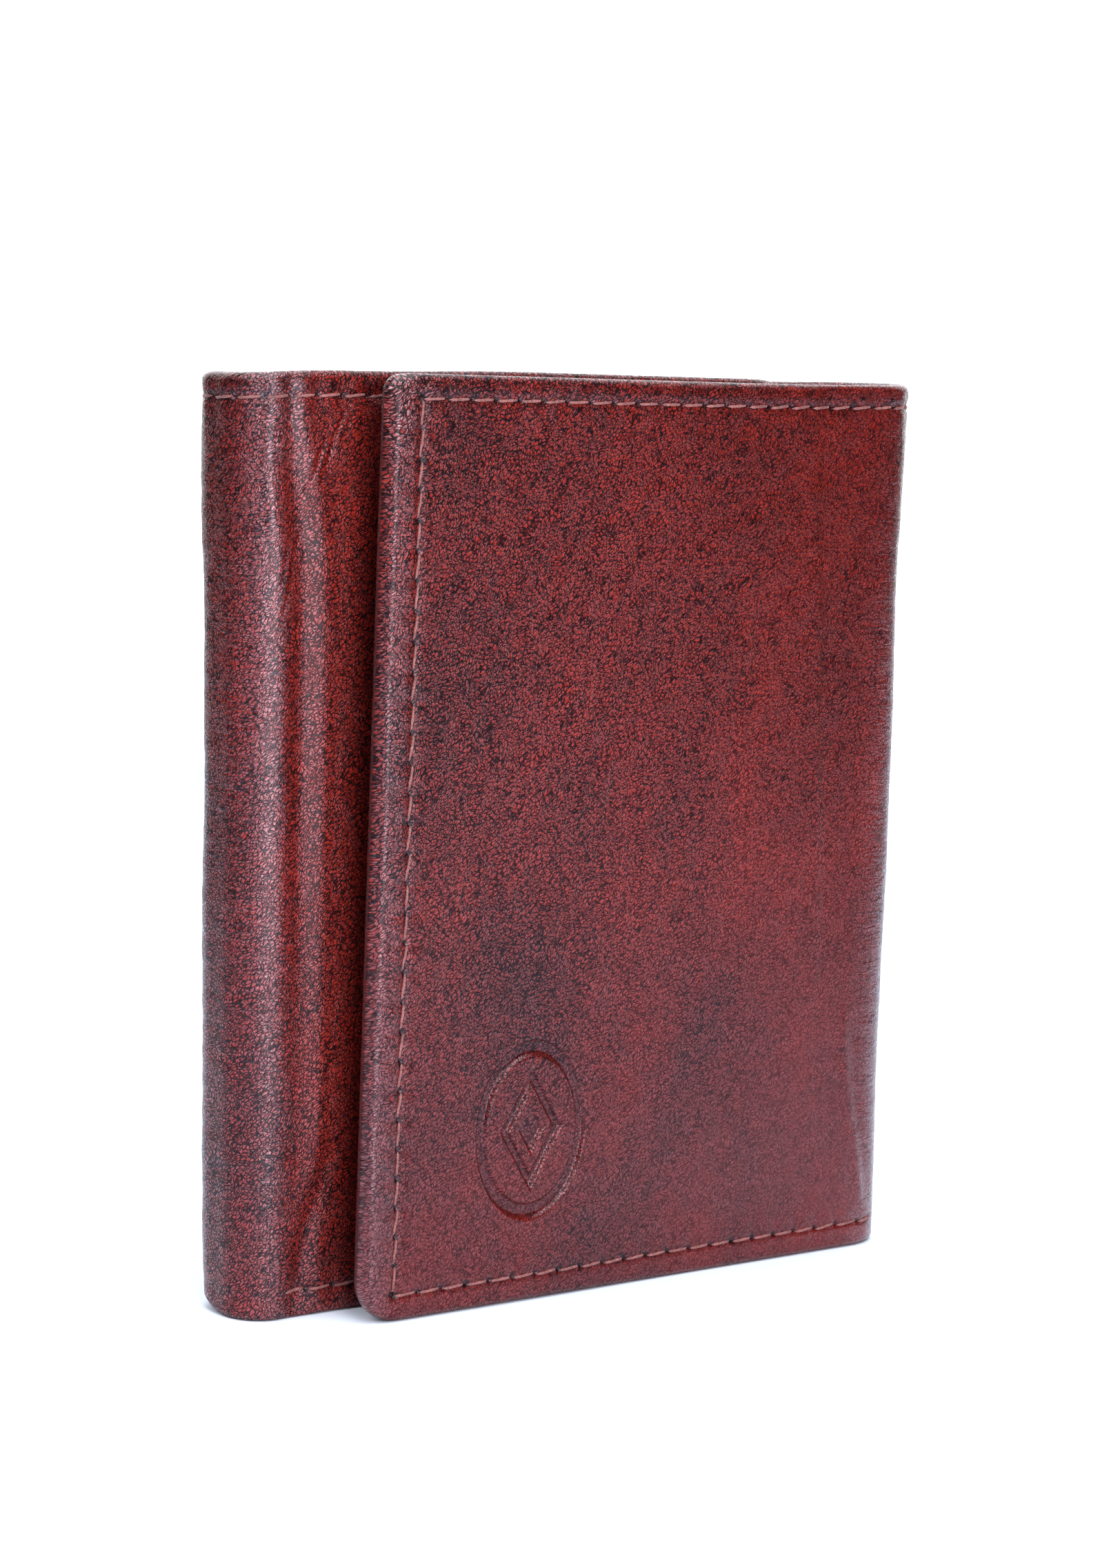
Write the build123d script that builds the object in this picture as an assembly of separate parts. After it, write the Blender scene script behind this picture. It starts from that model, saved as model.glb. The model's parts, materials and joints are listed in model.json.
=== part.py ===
from build123d import *

import os
from math import cos, radians, sin

# A trifold leather wallet, closed and standing on its bottom edge, in millimetres.
#
# Seen in plan it is a letter fold. The front flap hinges on the wide right spine, the inner flap on the
# narrow left spine, and both spines hinge on the back panel. +X runs towards the right spine, the front
# flap faces -Y and +Z is up. The origin is the middle of the footprint.
#
# Every layer of leather or cloth runs the whole way round in the real wallet. Here each layer is cut at
# the middle of the four folds, so that the five stretches can turn on each other. Depth means the distance
# of a layer behind the outer leather surface.

# Overall sizes of the closed wallet
HEIGHT = 110.0
CLOSED_WIDTH = 94.4
CLOSED_DEPTH = 19.5
INNER_FLAP_SET_BACK = 7.3  # the inner flap's outer face behind the front flap's
FRONT_EDGE_INSET = 11.5  # the front flap's free edge, from the wallet's left side
INNER_EDGE_INSET = 15.5  # the inner flap's free edge, from the wallet's right side
INNER_FLAP_RISE = 0.4  # the inner flap stands this much higher than the rest
RIGHT_FOLD_RADIUS = 7.0
LEFT_FOLD_RADIUS = 5.0
FOLD_GAP_DEGREES = 0.4  # clearance on each side of a cut through a fold

# Depths of the layers
SKIN = 1.2
BOARD_END = 1.5
LINING_END = 1.65
HEM_END = 2.1
PANEL_LINING_START = 2.15
PANEL_START = 2.3
PANEL_END = 2.9
LEAF = 0.6  # one card pocket's leather
WINDOW_END = 3.1
FRAME_END = 3.8

# Edges
HEM_WIDTH = 8.0
HEM_CORNER = 0.9  # rounding of the turned edge, in plan
TOP_CORNER = 2.0
BOTTOM_CORNER = 3.0
PANEL_BOTTOM = 1.0
PANEL_TOP = 107.0
PANEL_EDGE_INSET = 3.0  # the inner panels' side edge, from a flap's free edge
BOARD_TO_FOLD = 8.0  # the boards stop this far from a fold's centre line
BOARD_CORNER = 2.0
LINING_CLEARANCE = 0.05  # between the cloth and the turned edge
PANEL_LINING_DROP = 1.0  # the cloth stops this far below an inner panel's top

# Pockets and window
POCKET_TOPS = (97.0, 84.0, 71.0)
POCKET_MARGIN = 4.5  # from a pocket's side to the start of the fold
LEAF_CORNER = 1.5
FRAME_TOP = 101.0
ID_WINDOW = (46.0, 76.0)
ID_WINDOW_CENTRE_Z = 55.0
ID_WINDOW_CORNER = 4.0
WINDOW_LAP = 3.0  # the clear sheet runs this far behind its frame
THUMB_NOTCH_RADIUS = 8.0

# Stitching
STITCH_LENGTH = 2.5
STITCH_WIDTH = 0.6
STITCH_HEIGHT = 0.25
GROOVE_WIDTH = 0.8  # the outer leather's groove, as deep as the thread is high
STITCH_PITCH = 3.45
TOP_ROW_Z = 107.3
BOTTOM_ROW_Z = 3.1
SIDE_ROW_INSET = 4.0
LEAF_ROW_INSET = 2.5  # rows of thread from a pocket's or the window frame's side
FOLD_ROW_CLEARANCE = 2.2  # the last stitch's middle, from a fold's cut

X_LEFT = -CLOSED_WIDTH / 2
X_RIGHT = CLOSED_WIDTH / 2
Y_FRONT = -CLOSED_DEPTH / 2
Y_BACK = CLOSED_DEPTH / 2
Y_INNER = Y_FRONT + INNER_FLAP_SET_BACK
FRONT_EDGE_X = X_LEFT + FRONT_EDGE_INSET
INNER_EDGE_X = X_RIGHT - INNER_EDGE_INSET


class Fold:
    """A quarter-round fold: its centre, its outer radius and the direction of its middle, in degrees."""

    def __init__(self, x, y, radius, middle):
        self.x, self.y, self.radius, self.middle = x, y, radius, middle

    def point(self, depth, angle):
        reach = self.radius - depth
        return Vector(self.x + reach * cos(radians(angle)), self.y + reach * sin(radians(angle)))

    def arc(self, depth, start, end):
        return CenterArc((self.x, self.y), self.radius - depth, start, end - start)


RIGHT_X = X_RIGHT - RIGHT_FOLD_RADIUS
LEFT_X = X_LEFT + LEFT_FOLD_RADIUS
BACK_RIGHT = Fold(RIGHT_X, Y_BACK - RIGHT_FOLD_RADIUS, RIGHT_FOLD_RADIUS, 45)
FRONT_RIGHT = Fold(RIGHT_X, Y_FRONT + RIGHT_FOLD_RADIUS, RIGHT_FOLD_RADIUS, -45)
BACK_LEFT = Fold(LEFT_X, Y_BACK - LEFT_FOLD_RADIUS, LEFT_FOLD_RADIUS, 135)
FRONT_LEFT = Fold(LEFT_X, Y_INNER + LEFT_FOLD_RADIUS, LEFT_FOLD_RADIUS, 225)


class Stretch:
    """One of the five stretches that a layer is cut into. Each end is a fold, or the x of a free edge.

    facing is the direction that the flat part's outer side faces, in degrees.
    """

    def __init__(self, start, end, facing, top=HEIGHT):
        self.start, self.end, self.facing, self.top = start, end, facing, top

    def normal(self):
        return Vector(cos(radians(self.facing)), sin(radians(self.facing)))

    def face_y(self, depth):
        """The y of a flap's or the back's flat part."""
        fold = self.start if isinstance(self.start, Fold) else self.end
        return fold.point(depth, self.facing).Y

    def end_edges(self, end, depth):
        """The arc from the flat part to the cut through the fold, and both of its ends' points."""
        if not isinstance(end, Fold):
            edge_point = Vector(end, self.face_y(depth))
            return [], edge_point, edge_point
        turn = FOLD_GAP_DEGREES if end.middle < self.facing else -FOLD_GAP_DEGREES
        cut = self.facing + (end.middle - self.facing + 180) % 360 - 180 + turn
        arc = end.arc(depth, self.facing, cut)
        return [arc], end.point(depth, self.facing), end.point(depth, cut)

    def rail(self, depth, start, end):
        """The layer's line at a depth, as edges and its two end points."""
        first, first_flat, first_cut = self.end_edges(start, depth)
        last, last_flat, last_cut = self.end_edges(end, depth)
        return [*first, Line(first_flat, last_flat), *last], first_cut, last_cut

    def band(self, near, far, start=None, end=None):
        """The plan of a layer between two depths. start and end may pull it back from its own ends."""
        start = self.start if start is None else start
        end = self.end if end is None else end
        outer, outer_first, outer_last = self.rail(near, start, end)
        inner, inner_first, inner_last = self.rail(far, start, end)
        caps = [Line(outer_first, inner_first), Line(outer_last, inner_last)]
        return make_face([*outer, *inner, *caps])


BACK = Stretch(BACK_LEFT, BACK_RIGHT, 90)
RIGHT_SPINE = Stretch(BACK_RIGHT, FRONT_RIGHT, 0)
FRONT_FLAP = Stretch(FRONT_EDGE_X, FRONT_RIGHT, -90)
LEFT_SPINE = Stretch(BACK_LEFT, FRONT_LEFT, 180)
INNER_FLAP = Stretch(INNER_EDGE_X, FRONT_LEFT, 270, HEIGHT + INNER_FLAP_RISE)
STRETCHES = {
    "back": BACK,
    "right_spine": RIGHT_SPINE,
    "front_flap": FRONT_FLAP,
    "left_spine": LEFT_SPINE,
    "inner_flap": INNER_FLAP,
}


def upright(plan, bottom, top):
    """A plan made solid between two heights."""
    return Pos(0, 0, bottom) * extrude(plan, top - bottom)


def slab(stretch, near, far, x_range, z_range, corner=0.0):
    """A flat sheet in a flap or the back, between two depths, with its corners rounded."""
    width = x_range[1] - x_range[0]
    height = z_range[1] - z_range[0]
    outline = Rectangle(width, height) if corner == 0 else RectangleRounded(width, height, corner)
    y_near, y_far = stretch.face_y(near), stretch.face_y(far)
    middle = ((x_range[0] + x_range[1]) / 2, (y_near + y_far) / 2, (z_range[0] + z_range[1]) / 2)
    return Pos(*middle) * extrude(Plane.XZ * outline, abs(y_far - y_near) / 2, both=True)


def rounded_free_corners(stretch, solid):
    """Rounds a flap's two free corners, as seen from the front."""
    inwards = 1 if stretch.start < stretch.end.x else -1
    for z, up, radius in ((0, 1, BOTTOM_CORNER), (stretch.top, -1, TOP_CORNER)):
        square = Pos(stretch.start, 0, z) * Box(2 * radius, 2 * CLOSED_DEPTH, 2 * radius)
        centre = Pos(stretch.start + inwards * radius, 0, z + up * radius) * Rot(90, 0, 0)
        solid -= square - centre * Cylinder(radius, 3 * CLOSED_DEPTH)
    return solid


def board_range(stretch):
    """The x range of a panel's board: from the fold of its turned edge, or from a fold, to a fold."""
    if stretch is BACK:
        return LEFT_X + BOARD_TO_FOLD / 2, RIGHT_X - BOARD_TO_FOLD / 2
    if stretch is FRONT_FLAP:
        return FRONT_EDGE_X + SKIN, RIGHT_X - BOARD_TO_FOLD
    return LEFT_X + BOARD_TO_FOLD / 2, INNER_EDGE_X - SKIN


def pulled_in(stretch, inset):
    """A flap's free edge, moved inwards. The other stretches have none."""
    if isinstance(stretch.start, Fold):
        return None
    return stretch.start + inset * (1 if stretch.start < stretch.end.x else -1)


def board(stretch):
    return slab(stretch, SKIN, BOARD_END, board_range(stretch), (SKIN, stretch.top - SKIN), BOARD_CORNER)


def level_rows(stretch):
    """The heights of a stretch's level rows of thread. The spines are not sewn along the bottom."""
    top_row = stretch.top - (HEIGHT - TOP_ROW_Z)
    return (top_row,) if stretch in (RIGHT_SPINE, LEFT_SPINE) else (top_row, BOTTOM_ROW_Z)


def stitch_grooves(stretch):
    """The grooves that the edge thread lies in, flush with the outer surface."""
    rows = level_rows(stretch)
    plan = stretch.band(0, STITCH_HEIGHT)
    grooves = [upright(plan, z - GROOVE_WIDTH / 2, z + GROOVE_WIDTH / 2) for z in rows]
    x = pulled_in(stretch, SIDE_ROW_INSET)
    if x is not None:
        x_range = (x - GROOVE_WIDTH / 2, x + GROOVE_WIDTH / 2)
        grooves.append(slab(stretch, 0, STITCH_HEIGHT, x_range, (rows[1], rows[0])))
    return grooves


def cover(stretch):
    """The outer leather, turned over at the top, the bottom and the free edge, with room for its board."""
    leather = upright(stretch.band(0, HEM_END), 0, stretch.top)
    window = stretch.band(SKIN, HEM_END, pulled_in(stretch, HEM_WIDTH))
    leather -= upright(window, HEM_WIDTH, stretch.top - HEM_WIDTH)
    if stretch in (BACK, FRONT_FLAP, INNER_FLAP):
        leather -= board(stretch)
    if pulled_in(stretch, 0) is not None:
        free_edges = leather.edges().filter_by(Axis.Z).filter_by_position(
            Axis.X, stretch.start - 0.01, stretch.start + 0.01
        )
        leather = fillet(free_edges, HEM_CORNER)
        leather = rounded_free_corners(stretch, leather)
    for groove in stitch_grooves(stretch):
        leather -= groove
    return leather


def lining(stretch):
    """The cloth on the inside of the outer leather, within the turned edges."""
    margin = HEM_WIDTH + LINING_CLEARANCE
    plan = stretch.band(BOARD_END, LINING_END, pulled_in(stretch, margin))
    return upright(plan, margin, stretch.top - margin)


def inner_panel(stretch):
    """The leather that faces the card pockets, on the near side of the banknote compartment."""
    plan = stretch.band(PANEL_START, PANEL_END, pulled_in(stretch, PANEL_EDGE_INSET))
    return upright(plan, PANEL_BOTTOM, PANEL_TOP)


def panel_lining(stretch):
    """The cloth on the banknote side of an inner panel, which stops at the folds."""
    z_range = (PANEL_BOTTOM, PANEL_TOP - PANEL_LINING_DROP)
    return slab(stretch, PANEL_LINING_START, PANEL_START, pocket_range(stretch), z_range, BOARD_CORNER)


def pocket_range(stretch):
    """The x range of the pocket leaves and of the window frame."""
    if stretch is BACK:
        return LEFT_X + POCKET_MARGIN, RIGHT_X - POCKET_MARGIN
    if stretch is FRONT_FLAP:
        return FRONT_EDGE_X + PANEL_EDGE_INSET, RIGHT_X - BOARD_TO_FOLD
    return LEFT_X + POCKET_MARGIN, INNER_EDGE_X - PANEL_EDGE_INSET


def pocket_leaf(stretch, number):
    """One card pocket's leather. Each lies on the one before it and opens lower down."""
    near = PANEL_END + number * LEAF
    z_range = (PANEL_BOTTOM, POCKET_TOPS[number])
    return slab(stretch, near, near + LEAF, pocket_range(stretch), z_range, LEAF_CORNER)


def window_box(stretch, near, far, lap):
    """A rounded plate on the identity card's window, wider than it by lap all round."""
    x_range = pocket_range(stretch)
    middle = (x_range[0] + x_range[1]) / 2
    half_width = ID_WINDOW[0] / 2 + lap
    half_height = ID_WINDOW[1] / 2 + lap
    z_range = (ID_WINDOW_CENTRE_Z - half_height, ID_WINDOW_CENTRE_Z + half_height)
    return slab(stretch, near, far, (middle - half_width, middle + half_width), z_range, ID_WINDOW_CORNER)


def id_window():
    return window_box(FRONT_FLAP, PANEL_END, WINDOW_END, WINDOW_LAP)


def id_frame():
    """The leather round the window, with a thumb notch in its open top edge."""
    x_range = pocket_range(FRONT_FLAP)
    frame = slab(FRONT_FLAP, WINDOW_END, FRAME_END, x_range, (PANEL_BOTTOM, FRAME_TOP), LEAF_CORNER)
    frame -= window_box(FRONT_FLAP, WINDOW_END, FRAME_END, 0)
    notch_centre = Pos(sum(x_range) / 2, 0, FRAME_TOP + THUMB_NOTCH_RADIUS / 2) * Rot(90, 0, 0)
    return frame - notch_centre * Cylinder(THUMB_NOTCH_RADIUS, 2 * CLOSED_DEPTH)


def stitch(point, facing, z, upright_stitch=False):
    """One visible length of thread, standing on a point in a direction, in degrees."""
    along, rise = (STITCH_WIDTH, STITCH_LENGTH) if upright_stitch else (STITCH_LENGTH, STITCH_WIDTH)
    thread = Box(STITCH_HEIGHT, along, rise, align=(Align.MIN, Align.CENTER, Align.CENTER))
    return Pos(point.X, point.Y, z) * Rot(0, 0, facing) * thread


def spaced(start, end, pitch=STITCH_PITCH):
    """Evenly spaced values from start to end, as near the pitch as fits."""
    steps = max(1, round(abs(end - start) / pitch))
    return [start + (end - start) * step / steps for step in range(steps + 1)]


def row_across(stretch, z):
    """A level row of stitches along a stretch's flat part, on the floor of its groove."""
    ends = []
    for end in (stretch.start, stretch.end):
        if isinstance(end, Fold):
            ends.append(end.point(STITCH_HEIGHT, stretch.facing))
        else:
            ends.append(Vector(pulled_in(stretch, SIDE_ROW_INSET), stretch.face_y(STITCH_HEIGHT)))
    run = ends[1] - ends[0]
    distances = spaced(0, run.length)
    return [stitch(ends[0] + run.normalized() * distance, stretch.facing, z) for distance in distances]


def fold_stitches(stretch, z):
    """A level stitch on each fold's quarter turn, one on this side of the cut."""
    found = []
    for fold in (stretch.start, stretch.end):
        if isinstance(fold, Fold):
            turn = (fold.middle - stretch.facing + 180) % 360 - 180
            length = radians(abs(turn)) * fold.radius
            share = 1 - FOLD_ROW_CLEARANCE / length
            angle = stretch.facing + turn * share
            if length * share > STITCH_LENGTH:
                found.append(stitch(fold.point(STITCH_HEIGHT, angle), angle, z))
    return found


def edge_stitching(stretch):
    """The thread along a stretch's top and bottom, and up a flap's free edge, on the outer side."""
    rows = level_rows(stretch)
    found = []
    for z in rows:
        found += row_across(stretch, z) + fold_stitches(stretch, z)
    x = pulled_in(stretch, SIDE_ROW_INSET)
    if x is not None:
        heights = spaced(rows[1], rows[0])[1:-1]
        outer = Vector(x, stretch.face_y(STITCH_HEIGHT))
        found += [stitch(outer, stretch.facing, z, True) for z in heights]
    return Compound(children=found)


def pocket_stitching(stretch):
    """The thread that holds the pocket leaves down at the bottom and up both sides, on the pocket side."""
    inside = stretch.facing + 180
    low, high = pocket_range(stretch)
    number = len(POCKET_TOPS) - 1
    depth = PANEL_END + (number + 1) * LEAF
    low, high = low + LEAF_ROW_INSET, high - LEAF_ROW_INSET
    found = []
    for x in spaced(low, high):
        found.append(stitch(Vector(x, stretch.face_y(depth)), inside, BOTTOM_ROW_Z))
    for x in (low, high):
        for z in spaced(BOTTOM_ROW_Z, POCKET_TOPS[number] - LEAF_ROW_INSET)[1:]:
            found.append(stitch(Vector(x, stretch.face_y(depth)), inside, z, True))
    return Compound(children=found)


def frame_stitching():
    """The thread round the window frame's two sides and bottom."""
    inside = FRONT_FLAP.facing + 180
    low, high = pocket_range(FRONT_FLAP)
    low, high = low + LEAF_ROW_INSET, high - LEAF_ROW_INSET
    y = FRONT_FLAP.face_y(FRAME_END)
    found = [stitch(Vector(x, y), inside, BOTTOM_ROW_Z) for x in spaced(low, high)]
    for x in (low, high):
        for z in spaced(BOTTOM_ROW_Z, FRAME_TOP - LEAF_ROW_INSET)[1:]:
            found.append(stitch(Vector(x, y), inside, z, True))
    return Compound(children=found)


nodes = {}
for name, stretch in STRETCHES.items():
    nodes[f"{name}_cover"] = cover(stretch)
    nodes[f"{name}_lining"] = lining(stretch)
    nodes[f"{name}_inner_leather"] = inner_panel(stretch)
    nodes[f"{name}_edge_stitching"] = edge_stitching(stretch)
for name in ("back", "front_flap", "inner_flap"):
    nodes[f"{name}_board"] = board(STRETCHES[name])
    nodes[f"{name}_panel_lining"] = panel_lining(STRETCHES[name])
for name in ("back", "inner_flap"):
    for number in range(len(POCKET_TOPS)):
        nodes[f"{name}_card_pocket_{number + 1}"] = pocket_leaf(STRETCHES[name], number)
    nodes[f"{name}_pocket_stitching"] = pocket_stitching(STRETCHES[name])
nodes["front_flap_id_window"] = id_window()
nodes["front_flap_id_frame"] = id_frame()
nodes["front_flap_frame_stitching"] = frame_stitching()

os.makedirs("parts", exist_ok=True)
for name, solid in nodes.items():
    export_step(solid, f"parts/{name}.step")
for fold, where in (
    (BACK_RIGHT, "back and right spine"),
    (FRONT_RIGHT, "right spine and front flap"),
    (BACK_LEFT, "back and left spine"),
    (FRONT_LEFT, "left spine and inner flap"),
):
    hinge = fold.point(0, fold.middle)
    print(f"hinge of {where}: x {hinge.X:.4f}, y {hinge.Y:.4f}")
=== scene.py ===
"""Looks of the trifold wallet: leather shells, thread, cloth linings and card pockets round the CAD frame.

Everything sewn along the whole wallet is worked out on one flat plan of the hide, as (u, z) in
millimetres: u runs along the outer surface from the inner flap's free edge, over the narrow spine, the
back and the wide spine, to the front flap's free edge. Depth is the distance behind that surface.
"""

import json
from math import cos, pi, radians, sin, sqrt

import bpy
import numpy as np
from mathutils import Matrix, Vector


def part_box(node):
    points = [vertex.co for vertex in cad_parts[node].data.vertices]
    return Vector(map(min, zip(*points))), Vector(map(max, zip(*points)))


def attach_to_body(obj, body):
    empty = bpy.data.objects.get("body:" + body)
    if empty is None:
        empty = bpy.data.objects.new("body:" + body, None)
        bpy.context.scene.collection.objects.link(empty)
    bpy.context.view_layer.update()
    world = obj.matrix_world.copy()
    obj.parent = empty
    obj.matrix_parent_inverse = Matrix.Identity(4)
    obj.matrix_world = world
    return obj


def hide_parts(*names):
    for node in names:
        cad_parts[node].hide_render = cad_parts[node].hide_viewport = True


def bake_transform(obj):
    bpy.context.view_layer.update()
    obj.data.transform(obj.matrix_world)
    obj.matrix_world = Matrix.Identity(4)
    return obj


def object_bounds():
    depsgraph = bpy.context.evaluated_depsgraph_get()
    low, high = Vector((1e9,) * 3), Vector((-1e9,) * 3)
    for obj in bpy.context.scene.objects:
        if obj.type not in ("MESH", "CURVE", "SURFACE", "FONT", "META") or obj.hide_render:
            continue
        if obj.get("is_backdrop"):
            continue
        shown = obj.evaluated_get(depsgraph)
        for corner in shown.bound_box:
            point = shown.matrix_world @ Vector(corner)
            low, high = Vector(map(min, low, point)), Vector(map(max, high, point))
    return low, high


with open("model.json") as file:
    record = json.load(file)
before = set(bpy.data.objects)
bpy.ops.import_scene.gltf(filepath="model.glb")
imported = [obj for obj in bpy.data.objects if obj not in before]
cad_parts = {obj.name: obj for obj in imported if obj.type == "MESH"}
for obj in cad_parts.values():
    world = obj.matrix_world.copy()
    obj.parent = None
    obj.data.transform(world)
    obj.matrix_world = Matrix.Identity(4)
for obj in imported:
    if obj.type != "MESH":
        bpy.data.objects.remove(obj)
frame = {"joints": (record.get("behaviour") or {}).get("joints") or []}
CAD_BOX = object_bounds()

MM = 0.001


# ---------------------------------------------------------------- sizes, from the frame, in millimetres

def side(node, which, axis):
    """One coordinate of a CAD node's box. which is 0 for its low corner and 1 for its high one."""
    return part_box(node)[which][axis] / MM


X_LEFT = side("left_spine_cover", 0, 0)
X_RIGHT = side("right_spine_cover", 1, 0)
Y_BACK = side("back_cover", 1, 1)
Y_FRONT = side("front_flap_cover", 0, 1)
Y_INNER = side("inner_flap_cover", 0, 1)
X_FRONT_EDGE = side("front_flap_cover", 0, 0)
X_INNER_EDGE = side("inner_flap_cover", 1, 0)
HEIGHT = side("front_flap_cover", 1, 2)
HINGES = {joint["name"]: Vector(joint["pos_m"]) / MM for joint in frame["joints"]}


def fold_radius(hinge, outermost_x):
    """A fold's outer radius. Its hinge is at the middle of the quarter turn, on the outer surface."""
    return abs(outermost_x - HINGES[hinge].x) / (1 - sqrt(0.5))


R_RIGHT = fold_radius("right_spine_fold", X_RIGHT)
R_LEFT = fold_radius("left_spine_fold", X_LEFT)


# ---------------------------------------------------------------- the line of the outer surface in plan

def straight(start, end):
    return ("straight", np.array(start), np.array(end), float(np.hypot(*np.subtract(end, start))))


def quarter(centre, radius, start_degrees):
    """A quarter turn, clockwise as seen from above."""
    return ("quarter", np.array(centre), radius, radians(start_degrees), radius * pi / 2)


X_LEFT_FLAT = X_LEFT + R_LEFT
X_RIGHT_FLAT = X_RIGHT - R_RIGHT
WALK = [
    straight((X_INNER_EDGE, Y_INNER), (X_LEFT_FLAT, Y_INNER)),
    quarter((X_LEFT_FLAT, Y_INNER + R_LEFT), R_LEFT, 270),
    straight((X_LEFT, Y_INNER + R_LEFT), (X_LEFT, Y_BACK - R_LEFT)),
    quarter((X_LEFT_FLAT, Y_BACK - R_LEFT), R_LEFT, 180),
    straight((X_LEFT_FLAT, Y_BACK), (X_RIGHT_FLAT, Y_BACK)),
    quarter((X_RIGHT_FLAT, Y_BACK - R_RIGHT), R_RIGHT, 90),
    straight((X_RIGHT, Y_BACK - R_RIGHT), (X_RIGHT, Y_FRONT + R_RIGHT)),
    quarter((X_RIGHT_FLAT, Y_FRONT + R_RIGHT), R_RIGHT, 0),
    straight((X_RIGHT_FLAT, Y_FRONT), (X_FRONT_EDGE, Y_FRONT)),
]
STATIONS = np.concatenate([[0.0], np.cumsum([part[-1] for part in WALK])])
(U_INNER_EDGE, U_FRONT_LEFT, U_LEFT_SPINE, U_BACK_LEFT, U_BACK, U_BACK_RIGHT, U_RIGHT_SPINE,
 U_FRONT_RIGHT, U_FRONT, U_FRONT_EDGE) = STATIONS
SPINES = ((U_FRONT_LEFT, U_BACK), (U_BACK_RIGHT, U_FRONT))


def along(u):
    """The outer surface's x, y and outward direction at each u."""
    u = np.atleast_1d(np.asarray(u, float))
    place, outward = np.zeros((len(u), 2)), np.zeros((len(u), 2))
    which = np.clip(np.searchsorted(STATIONS, u, side="right") - 1, 0, len(WALK) - 1)
    for number, part in enumerate(WALK):
        here = which == number
        run = (u[here] - STATIONS[number])[:, None]
        if part[0] == "straight":
            forward = (part[2] - part[1]) / part[3]
            place[here] = part[1] + forward * run
            outward[here] = (-forward[1], forward[0])
        else:
            angle = part[3] - run / part[2]
            outward[here] = np.hstack([np.cos(angle), np.sin(angle)])
            place[here] = part[1] + outward[here] * part[2]
    return place, outward


# ---------------------------------------------------------------- small helpers for shapes

def smooth(value, low, high):
    """0 below low, 1 above high and a smooth rise between."""
    t = np.clip((value - low) / (high - low), 0, 1)
    return t * t * (3 - 2 * t)


def between(value, rise, fall):
    """1 between a smooth rise and a smooth fall, each given by its two ends, and 0 outside them."""
    return smooth(value, *rise) * (1 - smooth(value, *fall))


def hump(distance, width):
    """1 at no distance, and a bell-shaped fall to both sides."""
    return np.exp(-((distance / width) ** 2))


def lumps(x, y, table):
    """Smooth heights read from a square table of random numbers, one for each whole x and y."""
    ix, iy = np.floor(x).astype(int), np.floor(y).astype(int)
    fx, fy = smooth(x - ix, 0, 1), smooth(y - iy, 0, 1)
    corner = lambda a, b: table[(ix + a) % len(table), (iy + b) % len(table)]
    low = corner(0, 0) * (1 - fx) + corner(1, 0) * fx
    high = corner(0, 1) * (1 - fx) + corner(1, 1) * fx
    return low * (1 - fy) + high * fy


def rough(x, y, cell, seed):
    """Smooth random heights from about -1 to 1, with lumps about a cell across and no leading direction."""
    random = np.random.default_rng(seed)
    a, b = np.asarray(x) / cell, np.asarray(y) / cell
    total = 0.0
    for turn in (0.6, 1.7, 2.6):
        table = random.uniform(-1, 1, (97, 97))
        total = total + lumps(a * cos(turn) - b * sin(turn) + turn * 7,
                              a * sin(turn) + b * cos(turn) + turn, table)
    return total / 1.9


def crease_distance(u, z, points):
    """The signed distance across a crease that runs through points from top to bottom, and how far in its
    ends have faded, from 0 to 1."""
    points = np.array(sorted(points, key=lambda p: p[1]))
    line_u = np.interp(z, points[:, 1], points[:, 0])
    low, high = points[0, 1], points[-1, 1]
    fade = 0.2 * (high - low)
    return u - line_u, between(z, (low, low + fade), (high - fade, high))


# ---------------------------------------------------------------- rows of thread

PITCH = 3.45
TOP_ROW = HEIGHT - 2.7
BOTTOM_ROW = 3.3
SIDE_INSET = 4.3
U_SIDE_ROWS = (U_INNER_EDGE + SIDE_INSET, U_FRONT_EDGE - SIDE_INSET)
HOLE_DEPTH = 0.28
HOLE_WIDTH = 0.3
CHANNEL_LINES = np.array((-1.2, -0.75, -0.35, 0.0, 0.35, 0.75, 1.2))
SIDE_CHANNEL_LINES = np.array((-0.9, -0.4, 0.0, 0.4, 0.9))


def hole_positions(start, end):
    return np.linspace(start, end, max(2, round((end - start) / PITCH) + 1))


LEVEL_HOLES = hole_positions(*U_SIDE_ROWS)
UPRIGHT_HOLES = hole_positions(BOTTOM_ROW, TOP_ROW)


def bottom_row_sewn(u):
    """1 where the bottom row runs: along the three panels and not round the spines."""
    inner = 1 - smooth(u, U_FRONT_LEFT - 3.0, U_FRONT_LEFT - 1.0)
    back = between(u, (U_BACK + 1, U_BACK + 2), (U_BACK_RIGHT - 2, U_BACK_RIGHT - 1))
    front = smooth(u, U_FRONT - 3.5, U_FRONT - 2.5)
    return inner + back + front


def nearest_gap(values, holes):
    """The distance from each value to its nearest hole."""
    index = np.clip(np.searchsorted(holes, values), 1, len(holes) - 1)
    return np.minimum(np.abs(values - holes[index - 1]), np.abs(values - holes[index]))


def row_relief(across, lengthwise, holes):
    """The channel pressed by a row of thread, its needle holes, and the leather puckered between them."""
    gap = nearest_gap(lengthwise, holes)
    channel = -0.17 * hump(across, 0.6)
    punched = -HOLE_DEPTH * hump(across, HOLE_WIDTH) * hump(gap, HOLE_WIDTH)
    pucker = 0.07 * np.cos(2 * pi * gap / PITCH) * hump(np.abs(across) - 1.3, 0.8)
    return channel + punched - pucker


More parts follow.
